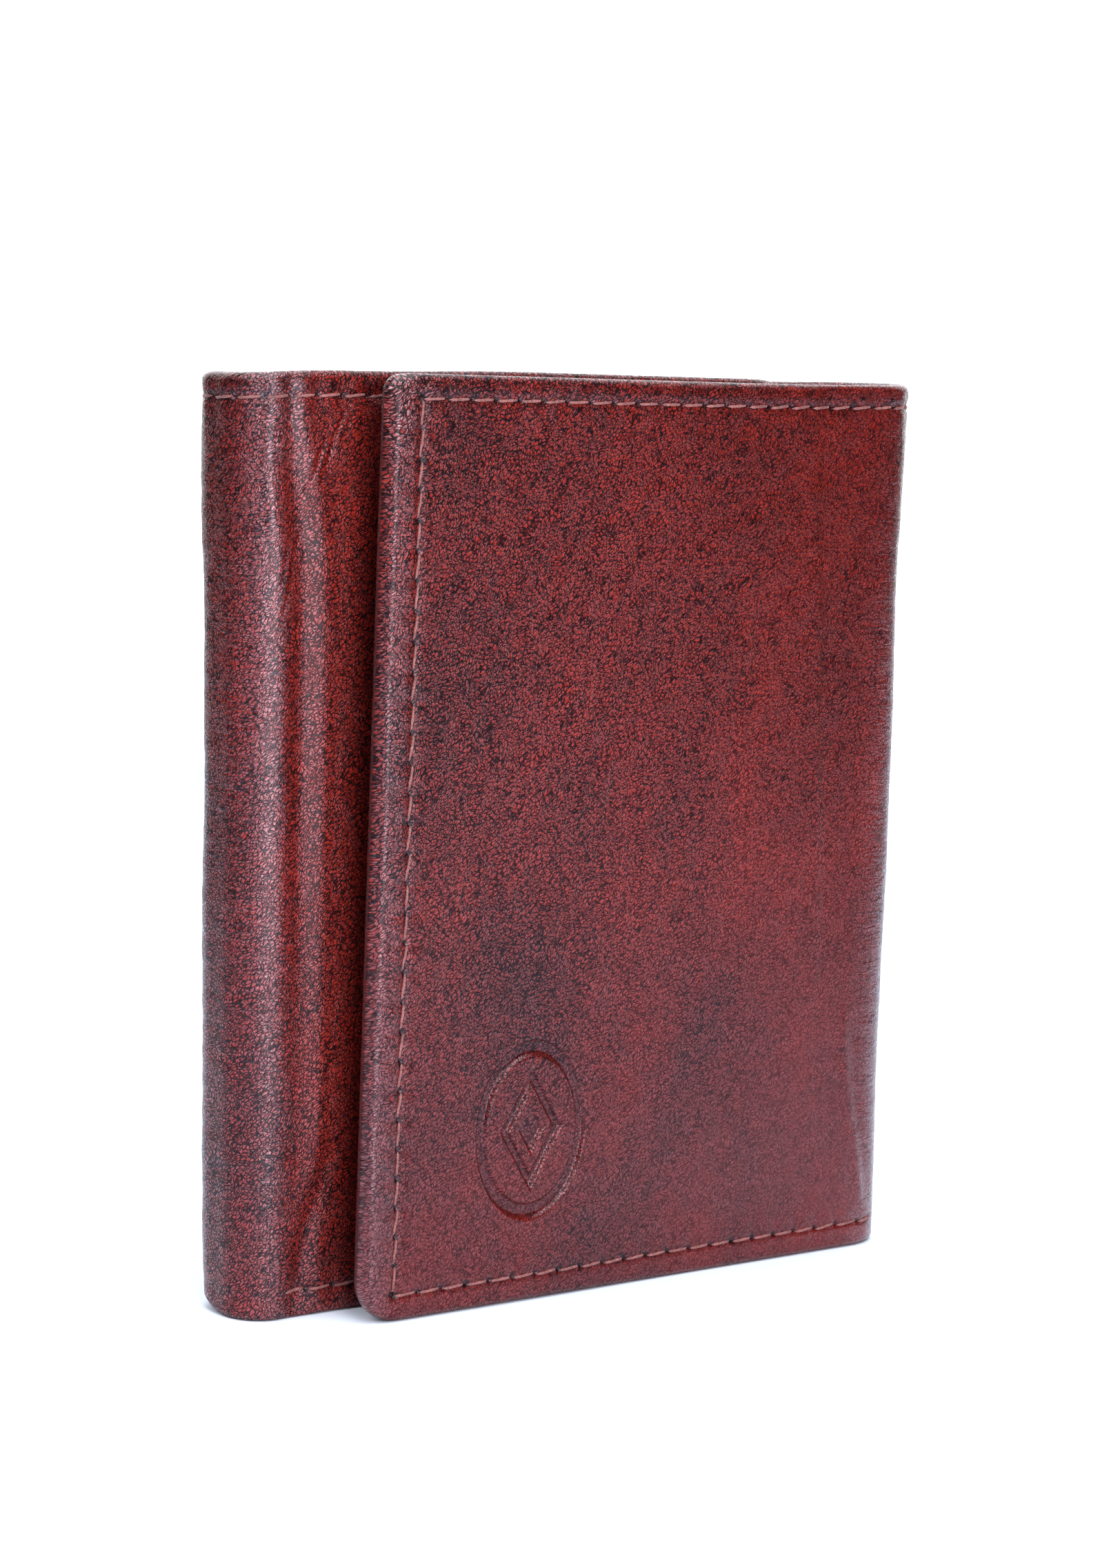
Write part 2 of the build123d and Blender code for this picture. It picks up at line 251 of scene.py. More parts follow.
def stitching_relief(u, z):
    """The four rows of thread round the cover, each no longer than its thread."""
    between_sides = between(u, (3, 4), (U_FRONT_EDGE - 4, U_FRONT_EDGE - 3))
    total = row_relief(z - TOP_ROW, u, LEVEL_HOLES) * between_sides
    total = total + row_relief(z - BOTTOM_ROW, u, LEVEL_HOLES) * bottom_row_sewn(u) * between_sides
    between_levels = between(z, (BOTTOM_ROW - 1, BOTTOM_ROW), (TOP_ROW, TOP_ROW + 1))
    for row in U_SIDE_ROWS:
        total = total + row_relief(u - row, z, UPRIGHT_HOLES) * between_levels
    return total


# ---------------------------------------------------------------- the pressed emblem: an oval and a lozenge

EMBLEM_CENTRE = (U_FRONT_EDGE - 23.6, 21.0)
EMBLEM_OVAL = (7.4, 9.9)
EMBLEM_LOZENGE = (3.9, 6.3)
EMBLEM_LINE = 0.62
EMBLEM_DEPTH = 0.5
EMBLEM_GRID = (8.6, 11.0, 0.22)  # half its width and half its height with a margin, and the grid's step


def emblem_pressed(u, z):
    """How far the stamp has pressed the leather, from 0 to 1: an oval line, a lozenge line and its heart. The
    colour is darkened there too, as painted shade.
    """
    x, y = u - EMBLEM_CENTRE[0], z - EMBLEM_CENTRE[1]
    oval = (np.hypot(x / EMBLEM_OVAL[0], y / EMBLEM_OVAL[1]) - 1) * EMBLEM_OVAL[0]
    lozenge = (np.abs(x) / EMBLEM_LOZENGE[0] + np.abs(y) / EMBLEM_LOZENGE[1] - 1) * EMBLEM_LOZENGE[0] * 0.85
    line = np.minimum(np.abs(oval) - EMBLEM_LINE, np.abs(lozenge) - EMBLEM_LINE * 0.7)
    heart = lozenge + 1.9
    return 1 - smooth(np.minimum(line, heart), -0.16, 0.2)


# ---------------------------------------------------------------- relief of the outer leather

def spine_relief(u, z):
    """The groove between the inner flap's board and the narrow spine, which fades as it goes down, the
    slanting fold at its foot, and the slanting creases that run into it from the top edge."""
    upper = smooth(z, 94, 107)
    groove_u = np.interp(z, (60, 90, 104, HEIGHT), (71.4, 71.6, 73.4, 73.6))
    width = 1.9 - 0.7 * upper
    depth = (0.24 + 0.46 * smooth(z, 22, 66)) * (1 - 0.62 * upper)
    total = -depth * hump(u - groove_u, width)
    total = total + 0.13 * hump(u - groove_u + 1.45 * width, 1.15)
    foot = u - np.interp(z, (0, 3, 10, 18, 24), (72.3, 71.6, 70.1, 68.0, 66.4))
    at_foot = 1 - smooth(z, 13, 26)
    sunk = between(foot, (-14, -5), (-1.5, 1.0))
    total = total - at_foot * (0.42 * hump(foot, 1.3) + 0.25 * sunk)
    creases = (
        ([(64.6, 108), (66.2, 105), (67.6, 102.5), (68.6, 99)], 0.15),
        ([(63.9, 108), (65.4, 104.5), (66.5, 102)], 0.11),
        ([(68.2, 103), (69.6, 100.5), (70.4, 98), (71.6, 95)], 0.15),
        ([(67.4, 102), (68.7, 99), (69.5, 96.5)], 0.09),
        ([(71.0, 93), (72.8, 89), (73.4, 85.5), (74.8, 81)], 0.12),
        ([(72.0, 94), (73.8, 90), (74.6, 85)], 0.1),
    )
    for points, strength in creases:
        across, fade = crease_distance(u, z, points)
        total = total - strength * fade * (hump(across, 0.34) - 0.5 * hump(across - 0.55, 0.3))
    across, fade = crease_distance(u, z, [(75.8, 112), (76.2, 100), (75.0, 88)])
    total = total + 0.2 * fade * hump(across, 0.8)
    return total


def fold_relief(u, z):
    """Small folds where the leather turns: fine wrinkles across each quarter turn."""
    total = 0.0
    for (start, end), height in zip(SPINES, (0.06, 0.04)):
        here = between(u, (start - 3, start + 1), (end - 1, end + 3))
        total = total + height * here * rough(u * 0.35, z, 1.5, 31) + 0.1 * here * rough(u * 0.5, z, 9.0, 32)
    return total


def front_relief(u, z):
    """The board's edge showing through the front flap, the creases beside the wide spine and the bead
    along the free edge."""
    from_edge = U_FRONT_EDGE - u
    board_edge = from_edge - np.interp(z, (0, 50, HEIGHT), (69.0, 68.0, 64.0))
    showing = smooth(z, 25, 62)
    total = -0.24 * between(board_edge, (-0.7, 0.8), (5, 12)) * showing
    total = total + 0.08 * hump(board_edge + 0.9, 0.6) * showing
    across, fade = crease_distance(from_edge, z, [(72.6, 33), (74.2, 20), (77.5, 3)])
    total = total + 0.22 * fade * hump(across, 0.7) - 0.12 * fade * hump(across - 1.6, 1.0)
    bead = 0.22 * hump(from_edge - 2.3, 1.1) * smooth(from_edge, 0, 1.5)
    return total + bead * between(z, (2, 7), (HEIGHT - 6, HEIGHT - 2))


def relief(u, z):
    """How far the outer surface stands out from its plain line."""
    total = stitching_relief(u, z) + spine_relief(u, z) + fold_relief(u, z) + front_relief(u, z)
    total = total - EMBLEM_DEPTH * emblem_pressed(u, z)
    total = total + 0.15 * rough(u, z, 27.0, 11) + 0.05 * rough(u, z, 11.0, 12)
    return total + 0.01 * rough(u, z, 2.6, 13)


# ---------------------------------------------------------------- how the closed wallet has settled

def settle(x, y, z, u):
    """The narrow spine and the inner flap lean outwards as they rise, because the folded leather springs
    open at the top, and the wide spine is drawn in a little at two thirds of its height."""
    lean = 0.5 + 0.00026 * z * z + 0.42 * hump(z - 45, 22) - 0.35 * smooth(z, 95, 110) - 0.35 * hump(z, 7)
    on_back = (u > U_BACK) & (u < U_BACK_RIGHT)
    weight = np.where(u <= U_BACK, 1.0, np.where(on_back, 1 - smooth(x, X_LEFT + 5, X_LEFT + 34), 0.0))
    backwards = smooth(y, Y_INNER + 1, Y_BACK) * weight * (u > U_FRONT_LEFT - 6)
    x = x - 0.85 * lean * weight
    y = y + 0.52 * lean * backwards
    drawn_in = 0.5 * hump(z - 85, 10) - 0.2 * smooth(75 - z, 0, 25) - 0.65 * hump(z, 16)
    wide = between(u, (U_BACK_RIGHT - 12, U_BACK_RIGHT + 6), (U_FRONT - 6, U_FRONT + 12))
    x = x - drawn_in * wide * smooth(x, X_RIGHT - 14, X_RIGHT - 4)
    droop = 0.68 * between(u, (66, U_LEFT_SPINE + 3), (U_BACK + 4, U_BACK + 26))
    lift = 0.45 * smooth(65 - u, 0, 25) + 0.4 * hump(u - U_RIGHT_SPINE - 6, 16)
    foot = 0.9 * between(u, (U_LEFT_SPINE, U_BACK_LEFT + 3), (U_BACK, U_BACK + 12)) * hump(z, 4)
    return x, y, z + (lift - droop) * smooth(z, 70, 110) + foot


def place(u, z, depth):
    """Points in the row frame, in metres, for arrays of u, z and depth of one shape."""
    shape = np.shape(u)
    spot, outward = along(np.ravel(u))
    flat = spot - outward * np.ravel(depth)[:, None]
    x, y, height = settle(flat[:, 0], flat[:, 1], np.ravel(z), np.ravel(u))
    return np.stack([x, y, height], axis=-1).reshape(*shape, 3) * MM


# ---------------------------------------------------------------- grids

RIM_STEPS = 6
INSIDE_OF_HIDE = 40.0  # the third hide coordinate of a layer's far side, so that its grain is another one

def lines(start, end, step):
    """Grid lines from start to end about a step apart."""
    count = max(2, int(round((end - start) / step)) + 1)
    return np.unique(np.round(np.linspace(start, end, count), 4))


def hole_lines(holes):
    """Grid lines that crowd round each needle hole."""
    offsets = (-1.2, -0.5, -0.17, 0.17, 0.5, 1.2)
    return np.concatenate([holes + offset for offset in offsets])


def rim_lines(radius):
    """Distances from an edge, within a rounded rim, at which there is a grid line."""
    return radius * (1 - np.cos(np.linspace(0, pi / 2, RIM_STEPS + 1)))[:-1]


def merge_lines(start, end, *sets, closest=0.1, keep=()):
    """One rising list of lines between start and end. Those in keep stay, and the others keep off them."""
    fixed = np.unique(np.round([start, end, *keep], 4))
    loose = np.unique(np.concatenate(sets))
    loose = loose[(loose > start + closest) & (loose < end - closest)]
    merged = list(fixed)
    gap = lambda value: np.min(np.abs(np.array(merged) - value))
    for value in loose:
        if gap(value) > closest:
            merged.append(value)
    return np.sort(np.array(merged))


class Layer:
    """A sheet of leather or cloth on the plan of the hide, closed all round, with rounded rims.

    near and far are its depths, as functions of (u, z, distance from the rim). corners are the corner radii
    at the bottom and at the top. rim is the radius of the rounded rim, or a function of (u, z). The sheet is
    worked out whole, then cut into pieces that match at their joins.
    """

    def __init__(self, u_lines, z_lines, near, far, rim, corners=(0, 0)):
        self.u_lines, self.z_lines = u_lines, z_lines
        u, z = np.meshgrid(u_lines, z_lines, indexing="ij")
        u, z = self.round_corners(u, z, corners)
        edge = self.distance_from_rim(u, z, corners)
        self.u, self.z, self.edge = u, z, edge
        radius = rim(u, z) if callable(rim) else np.full_like(u, rim)
        turned = np.clip(radius - edge, 0, radius)
        drop = radius - np.sqrt(np.maximum(radius**2 - turned**2, 0))
        self.outer_depth = near(u, z, edge) + drop
        self.inner_depth = far(u, z, edge) - drop
        middle = (self.outer_depth + self.inner_depth) / 2
        on_rim = edge < 1e-6
        self.outer_depth = np.where(on_rim, middle, self.outer_depth)
        self.inner_depth = np.where(on_rim, middle, self.inner_depth)
        self.outer = place(u, z, self.outer_depth)
        self.inner = place(u, z, self.inner_depth)
        self.outer_normals = self.normals(self.outer)
        self.inner_normals = -self.normals(self.inner)

    def round_corners(self, u, z, corners):
        """Moves the grid's square corners onto arcs."""
        u, z = u.copy(), z.copy()
        ends = [(self.u_lines[0], 1), (self.u_lines[-1], -1)]
        levels = [(self.z_lines[0], 1, corners[0]), (self.z_lines[-1], -1, corners[1])]
        for u_end, u_inwards in ends:
            for z_end, z_inwards, radius in levels:
                if radius == 0:
                    continue
                a = 1 - (u - u_end) * u_inwards / radius
                b = 1 - (z - z_end) * z_inwards / radius
                here = (a > 0) & (b > 0)
                new_a = a * np.sqrt(np.maximum(1 - b * b / 2, 0))
                new_b = b * np.sqrt(np.maximum(1 - a * a / 2, 0))
                u[here] = (u_end + (1 - new_a) * radius * u_inwards)[here]
                z[here] = (z_end + (1 - new_b) * radius * z_inwards)[here]
        return u, z

    def distance_from_rim(self, u, z, corners):
        from_bottom, from_top = z - self.z_lines[0], self.z_lines[-1] - z
        edge = np.minimum(from_bottom, from_top)
        for from_end in (u - self.u_lines[0], self.u_lines[-1] - u):
            edge = np.minimum(edge, from_end)
            for level, radius in ((from_bottom, corners[0]), (from_top, corners[1])):
                if radius:
                    here = (from_end < radius) & (level < radius)
                    round_edge = radius - np.hypot(radius - from_end, radius - level)
                    edge = np.where(here, round_edge, edge)
        return np.maximum(edge, 0)

    @staticmethod
    def normals(points):
        across = np.gradient(points, axis=0)
        upwards = np.gradient(points, axis=1)
        found = np.cross(across, upwards)
        length = np.linalg.norm(found, axis=-1, keepdims=True)
        return found / np.maximum(length, 1e-12)

    def piece(self, name, u_from, u_to, attributes=()):
        """The part of the sheet between two lines, as a closed mesh. attributes are (name, values) with
        one value for each point of the grid."""
        first = int(np.argmin(np.abs(self.u_lines - u_from)))
        last = int(np.argmin(np.abs(self.u_lines - u_to)))
        span = slice(first, last + 1)
        nu, nz = last - first + 1, len(self.z_lines)
        outer_index = np.arange(nu * nz).reshape(nu, nz)
        inner_index = outer_index + nu * nz
        closed_start, closed_end = first == 0, last == len(self.u_lines) - 1
        inner_index[:, 0], inner_index[:, -1] = outer_index[:, 0], outer_index[:, -1]
        if closed_start:
            inner_index[0] = outer_index[0]
        if closed_end:
            inner_index[-1] = outer_index[-1]
        quads = [grid_faces(outer_index), grid_faces(inner_index)[:, ::-1]]
        if not closed_start:
            quads.append(strip_faces(inner_index[0], outer_index[0]))
        if not closed_end:
            quads.append(strip_faces(outer_index[-1], inner_index[-1]))
        both = lambda outer, inner: np.concatenate([side[span].reshape(-1, 3) for side in (outer, inner)])
        hide = np.stack([self.u, self.z, np.zeros_like(self.u)], axis=-1)
        values = [(key, np.concatenate([grid[span].ravel()] * 2)) for key, grid in attributes]
        return make_mesh(name, both(self.outer, self.inner), np.concatenate(quads),
                         both(hide, hide + (0, 0, INSIDE_OF_HIDE)), values,
                         both(self.outer_normals, self.inner_normals))


def grid_faces(index):
    a, b, c, d = index[:-1, :-1], index[1:, :-1], index[1:, 1:], index[:-1, 1:]
    return np.stack([a, b, c, d], axis=-1).reshape(-1, 4)


def strip_faces(low, high):
    return np.stack([low[:-1], high[:-1], high[1:], low[1:]], axis=-1)


def make_mesh(name, points, faces, hide, values=(), normals=None):
    """A mesh object from arrays. Faces that have collapsed at a rim lose their repeated corner."""
    used = np.zeros(len(points), bool)
    used[faces.ravel()] = True
    renumber = np.cumsum(used) - 1
    polygons = []
    for face in renumber[faces].tolist():
        corners = [v for k, v in enumerate(face) if v != face[k - 1]]
        if len(set(corners)) >= 3:
            polygons.append(corners)
    mesh = bpy.data.meshes.new(name)
    mesh.from_pydata(points[used].tolist(), [], polygons)
    mesh.polygons.foreach_set("use_smooth", [True] * len(mesh.polygons))
    layer = mesh.attributes.new("hide", "FLOAT_VECTOR", "POINT")
    layer.data.foreach_set("vector", hide[used].astype(np.float32).ravel())
    for key, grid in values:
        layer = mesh.attributes.new(key, "FLOAT", "POINT")
        layer.data.foreach_set("value", grid[used].astype(np.float32))
    mesh.update()
    if normals is not None:
        mesh.normals_split_custom_set_from_vertices(normals[used].tolist())
    return add_object(name, mesh)


def add_object(name, data):
    thing = bpy.data.objects.new(name, data)
    bpy.context.scene.collection.objects.link(thing)
    return thing


# ---------------------------------------------------------------- shader helpers

class Value:
    """A shader node's output, which adds, subtracts and multiplies like a number."""

    def __init__(self, shader, socket):
        self.shader, self.socket = shader, socket

    def __add__(self, other):
        return self.shader.math("ADD", self, other)

    def __sub__(self, other):
        return self.shader.math("SUBTRACT", self, other)

    def __rsub__(self, other):
        return self.shader.math("SUBTRACT", other, self)

    def __mul__(self, other):
        return self.shader.math("MULTIPLY", self, other)


class Shader:
    """A material's node tree, with short calls for the nodes that it uses."""

    def __init__(self, name):
        self.material = bpy.data.materials.new(name)
        self.material.use_nodes = True
        self.tree = self.material.node_tree
        self.tree.nodes.clear()

    def value(self, kind, inputs=None, output=0, **settings):
        """One output of a new node. An input is a plain value or another node's output."""
        made = self.tree.nodes.new(kind)
        for key, setting in settings.items():
            setattr(made, key, setting)
        for key, given in (inputs or {}).items():
            if isinstance(given, Value):
                self.tree.links.new(given.socket, made.inputs[key])
            else:
                made.inputs[key].default_value = given
        return Value(self, made.outputs[output]) if made.outputs else None

    def math(self, operation, a, b, clamp=False):
        return self.value("ShaderNodeMath", {0: a, 1: b}, operation=operation, use_clamp=clamp)

    def ramp(self, value, low, high, out_low=0.0, out_high=1.0):
        return self.value("ShaderNodeMapRange", {"Value": value, "From Min": low, "From Max": high,
                                                 "To Min": out_low, "To Max": out_high},
                          "Result", interpolation_type="SMOOTHSTEP")

    def mix(self, factor, a, b):
        return self.value("ShaderNodeMix", {0: factor, 6: a, 7: b}, 2, data_type="RGBA")

    def noise(self, vector, scale, detail=2.0, roughness=0.5, distortion=0.0):
        return self.value("ShaderNodeTexNoise", {"Scale": scale, "Detail": detail, "Roughness": roughness,
                                                 "Distortion": distortion, "Vector": vector})

    def cells(self, vector, scale):
        return self.value("ShaderNodeTexVoronoi", {"Scale": scale, "Vector": vector}, "Distance",
                          feature="DISTANCE_TO_EDGE")

    def bands(self, vector, scale, distortion, detail=2.0):
        return self.value("ShaderNodeTexWave", {"Vector": vector, "Scale": scale, "Distortion": distortion,
                                                "Detail": detail}, 1, wave_type="BANDS")

    def stretched(self, vector, scale=(1, 1, 1), turn=0.0):
        return self.value("ShaderNodeMapping", {"Vector": vector, "Scale": scale,
                                                "Rotation": (0, 0, radians(turn))})

    def attribute(self, name, output="Fac"):
        return self.value("ShaderNodeAttribute", None, output, attribute_name=name, attribute_type="GEOMETRY")

    def hide(self):
        """The place on the plan of the hide, in millimetres."""
        return self.attribute("hide", "Vector")

    def bump(self, height, distance, strength=1.0, **normal):
        return self.value("ShaderNodeBump", {"Height": height, "Distance": distance, "Strength": strength,
                                             **normal})

    def surface(self, **inputs):
        """Ends the material with one surface and returns the material."""
        skin = self.value("ShaderNodeBsdfPrincipled", {key.replace("_", " "): inputs[key] for key in inputs})
        self.value("ShaderNodeOutputMaterial", {"Surface": skin})
        return self.material


def srgb(red, green, blue):
    """A colour given in screen values from 0 to 255, as linear light."""
    linear = lambda c: c / 12.92 if c <= 0.04045 else ((c + 0.055) / 1.055) ** 2.4
    return (*[linear(c / 255) for c in (red, green, blue)], 1.0)


# ---------------------------------------------------------------- materials

def grain(shader, hide, size):
    """The hide's grain as a height from 0 to 1: pebbles parted by broken furrows that follow a flow."""
    drift = shader.value("ShaderNodeTexNoise", {"Scale": 0.16 / size, "Detail": 1.0, "Vector": hide}, 1)
    wander = shader.value("ShaderNodeVectorMath", {0: drift, "Scale": 3.2 * size}, operation="SCALE")
    moved = shader.value("ShaderNodeVectorMath", {0: hide, 1: wander}, operation="ADD")
    slanted = shader.stretched(shader.stretched(moved, turn=45), (0.75, 1.5, 1.0))
    pebbles = shader.ramp(shader.cells(slanted, 1.45 / size), 0.0, 0.3)
    kernels = shader.ramp(shader.cells(slanted, 2.7 / size), 0.0, 0.3)
    broken = shader.ramp(shader.noise(slanted, 1.2 / size, 2.0, 0.6), 0.34, 0.6, 0.5, 1.0)
    height = 1.0 - (1.0 - pebbles) * broken * 0.8 - (1.0 - kernels) * 0.35
    pits = shader.ramp(shader.noise(slanted, 3.4 / size, 1.0, 0.7), 0.52, 0.64)
    return shader.math("SUBTRACT", height, pits * 0.3, clamp=True)


def leather_material(name, bright, middle, dark, grain_size, gloss, outer=False, contrast=1.0):
    """Glazed leather, dyed light on the pebbles and dark in the furrows, with broad mottling. The outer
    leather also has an uneven grain and ripples in its folds."""
    shader = Shader(name)
    hide = shader.hide()
    depth = shader.attribute("coarse") * 1.1 if outer else 0.9
    height = (grain(shader, hide, grain_size) - 0.5) * depth + 0.5
    mottle = shader.noise(shader.stretched(hide, (1.0, 0.6, 1.0), 20), 0.06, 4.0, 0.62, 0.4)
    patch = shader.noise(hide, 0.4, 3.0, 0.6)
    # This tone holds the dye's rubbed patches and, on the outer leather, painted shade round each needle
    # hole.
    tone = (mottle - 0.5) * 0.4 + shader.attribute("burnish_and_shade") * 0.5 + (patch - 0.5) * 0.22
    dyed = height * contrast + tone
    colour = shader.mix(shader.ramp(dyed, 0.05, 0.5), dark, middle)
    colour = shader.mix(shader.ramp(dyed, 0.45, 0.95), colour, bright)
    # Painted shade: pressed lines and creases, the emblem's and those along the pocket mouths and round the
    # window, are darkened towards the dark dye; they also lose some grain.
    pressed_and_shade = shader.attribute("pressed_and_shade")
    colour = shader.mix(pressed_and_shade * 0.3, colour, dark)
    fold = shader.attribute("fold")
    shine = shader.ramp(height, 0.15, 0.75, 0.3, 1.0) * (fold * 0.68 + 0.6)
    roughness = shader.ramp(height, 0.2, 0.9, gloss + 0.1, gloss) + shader.ramp(patch, 0.3, 0.7, -0.04, 0.05)
    normal = shader.bump(height * shader.ramp(pressed_and_shade, 0, 1, 1.0, 0.5), 0.048 * MM * grain_size)
    if outer:
        ripples = shader.noise(shader.stretched(hide, (0.55, 2.0, 1.0), 8), 0.9, 2.5, 0.55, 0.5)
        normal = shader.bump(ripples * fold, 0.2 * MM, Normal=normal)
    worn = shader.attribute("worn") * shader.ramp(height, 0.35, 0.95)
    scraped = shader.noise(shader.stretched(hide, (0.6, 1.4, 1.0), -45), 2.0, 3.0, 0.7)
    colour = shader.mix(worn * shader.ramp(scraped, 0.42, 0.6), colour, srgb(150, 122, 126))
    return shader.surface(Base_Color=colour, Roughness=roughness, Normal=normal,
                          Specular_IOR_Level=shine * 0.65, Specular_Tint=(0.85, 0.76, 1.0, 1),
                          Coat_Weight=shine * 0.85, Coat_Roughness=0.12, Coat_Normal=normal)


def thread_material(name, light, dark):
    """Matt two-ply thread."""
    shader = Shader(name)
    fibre = shader.noise(shader.hide(), 9.0, 3.0, 0.7)
    patch = shader.noise(shader.hide(), 0.6, 2.0)
    return shader.surface(Base_Color=shader.mix(shader.ramp(fibre + patch * 0.5, 0.5, 1.0), dark, light),
                          Roughness=0.62, Normal=shader.bump(fibre, 0.05 * MM, 0.7),
                          Sheen_Weight=0.25, Sheen_Roughness=0.4)


def cloth_material(name, light, dark):
    """Fine twill: slanting ribs crossed by the weft."""
    shader = Shader(name)
    hide = shader.hide()
    ribs = shader.bands(shader.stretched(hide, (1, 1, 0), 45), 1.1, 0.3, 1.0)
    weft = shader.bands(shader.stretched(hide, (1, 1, 0)), 1.6, 0.2)
    height = weft * 0.35 + ribs * 0.65
    worn = shader.noise(hide, 0.12, 3.0)
    return shader.surface(Base_Color=shader.mix(shader.ramp(height + worn, 0.5, 1.5), dark, light),
                          Roughness=0.8, Normal=shader.bump(height, 0.06 * MM),
                          Sheen_Weight=0.35, Sheen_Roughness=0.5)


def board_material(name):
    """Grey-brown fibre board."""
    shader = Shader(name)
    place_on_board = shader.value("ShaderNodeTexCoord", output="Object")
    fibres = shader.noise(shader.stretched(place_on_board, (900, 900, 300)), 1.0, 4.0, 0.65)
    return shader.surface(Base_Color=shader.mix(fibres, srgb(112, 94, 74), srgb(176, 156, 128)),
                          Roughness=0.9, Normal=shader.bump(fibres, 0.05 * MM))


def window_material(name):
    """Clear flexible plastic, a little hazy and scuffed."""
    shader = Shader(name)
    hide = shader.hide()
    haze = shader.noise(hide, 0.12, 3.0)
    scuffs = shader.noise(shader.stretched(hide, (4.0, 0.5, 1), 30), 1.2, 2.0)
    return shader.surface(Base_Color=srgb(214, 216, 220), Normal=shader.bump(haze, 0.4 * MM, 0.5),
                          Roughness=shader.ramp(scuffs, 0.4, 0.7, 0.08, 0.22),
                          Alpha=shader.ramp(haze, 0.3, 0.7, 0.16, 0.24))


outer_leather = leather_material("outer_leather", srgb(143, 35, 23), srgb(89, 22, 18), srgb(22, 9, 11),
                                 grain_size=0.66, gloss=0.24, outer=True)
inner_leather = leather_material("inner_leather", srgb(120, 36, 32), srgb(86, 26, 28), srgb(44, 18, 24),
                                 grain_size=0.8, gloss=0.42, contrast=0.7)
pocket_leather = leather_material("pocket_leather", srgb(132, 38, 32), srgb(94, 28, 29), srgb(46, 18, 24),
                                  grain_size=0.9, gloss=0.4, contrast=0.8)
thread = thread_material("thread", srgb(152, 96, 94), srgb(94, 50, 50))
cloth = cloth_material("lining_cloth", srgb(70, 38, 40), srgb(34, 18, 20))
board_stock = board_material("board_stock")
clear_sheet = window_material("clear_sheet")


# ---------------------------------------------------------------- the outer leather

SKIN = 1.2
HEM_DEPTH = 2.15
HEM_WIDTH = 8.0
CORNERS = (5.2, 2.4)
PARTS = ("inner_flap", "back", "right_spine", "front_flap")
U_SEAMS = (U_INNER_EDGE, U_BACK_LEFT + 3.7, U_BACK_RIGHT - 9.0, (U_RIGHT_SPINE + U_FRONT_RIGHT) / 2,
           U_FRONT_EDGE)
LEVEL_RIM = 1.1
FREE_RIM = 1.62
HOLE_SHADE = 0.8


def from_free_edge(u):
    return np.minimum(u - U_INNER_EDGE, U_FRONT_EDGE - u)


def rim_radius(u, z):
    """The turned edge is thicker along the flaps' free edges than along the top and bottom."""
    return LEVEL_RIM + (FREE_RIM - LEVEL_RIM) * (1 - smooth(from_free_edge(u), 1.5, 6.0))


def outer_near(u, z, edge):
    return -relief(u, z) * smooth(edge, 0.0, 1.2)


def outer_far(u, z, edge):
    """The inside of the turned edge, then a step down to the inside of the skin."""
    bead = 2 * rim_radius(u, z) - HEM_DEPTH
    hem = HEM_DEPTH + bead * (1 - smooth(edge, 1.2, 3.2))
    return hem + (SKIN - HEM_DEPTH) * smooth(edge, HEM_WIDTH - 0.2, HEM_WIDTH + 0.4)


def burnish_and_shade_at(u, z):
    """Broad patches where the dye was rubbed lighter, above 0, or left darker, below 0, and painted shade at
    the needle holes.
    """
    patches = (
        # u from the front flap's free edge, z, spread in u, spread in z, strength
        (58, 78, 20, 26, 0.04),
        (30, 92, 18, 12, 0.05),
        (12, 66, 12, 20, -0.16),
        (20, 38, 11, 9, -0.30),
        (44, 42, 15, 12, 0.05),
        (48, 12, 42, 20, -0.13),
        (10, 100, 9, 10, -0.14),
        (212, 68, 6, 46, 0.14),
        (205, 60, 4, 40, 0.10),
    )
    total = np.zeros_like(u)
    for from_edge, height, wide, tall, strength in patches:
        centre = U_FRONT_EDGE - from_edge
        total += strength * np.exp(-(((u - centre) / wide) ** 2) - ((z - height) / tall) ** 2)
    # Painted shade: the leather round each needle hole is darkened, standing in for the shade inside the
    # hole.
    shaded = lambda across, gap: HOLE_SHADE * hump(across, 0.32) * hump(gap, 0.4)
    for row in (TOP_ROW, BOTTOM_ROW):
        total -= shaded(z - row, nearest_gap(u, LEVEL_HOLES))
    for row in U_SIDE_ROWS:
        total -= shaded(u - row, nearest_gap(z, UPRIGHT_HOLES))
    dark_band, light_band = hump(z - TOP_ROW - 1.0, 0.8), hump(z - BOTTOM_ROW + 1.4, 0.8)
    return total + 0.12 * (light_band - dark_band) + 0.06 * rough(u, z, 14, 41)


def worn_at(u, z):
    """Where the finish has been scraped: the front flap's upper free corner, and its edge here and there."""
    edge = from_free_edge(u)
    corner = hump(U_FRONT_EDGE - u - 1.5, 3.2) * smooth(z, HEIGHT - 9, HEIGHT - 2)
    along_edge = 0.35 * hump(edge - 1.4, 1.0) * smooth(rough(u, z, 7.0, 42), 0.1, 0.6)
    low_corner = 0.5 * hump(U_FRONT_EDGE - u - 1.5, 2.5) * (1 - smooth(z, 1, 6))
    return np.clip(corner + along_edge + low_corner, 0, 1)


def coarse_at(u, z):
    """How open the grain is: less towards the wide spine and the foot of the front flap, where the hide is
    stretched over its board."""
    on_front = smooth(u, U_BACK_RIGHT, U_FRONT)
    stretched = (1 - 0.35 * smooth(U_FRONT_EDGE - u, 20, 75)) * (0.5 + 0.5 * smooth(z, 5, 75))
    return 1 + on_front * (stretched - 1)


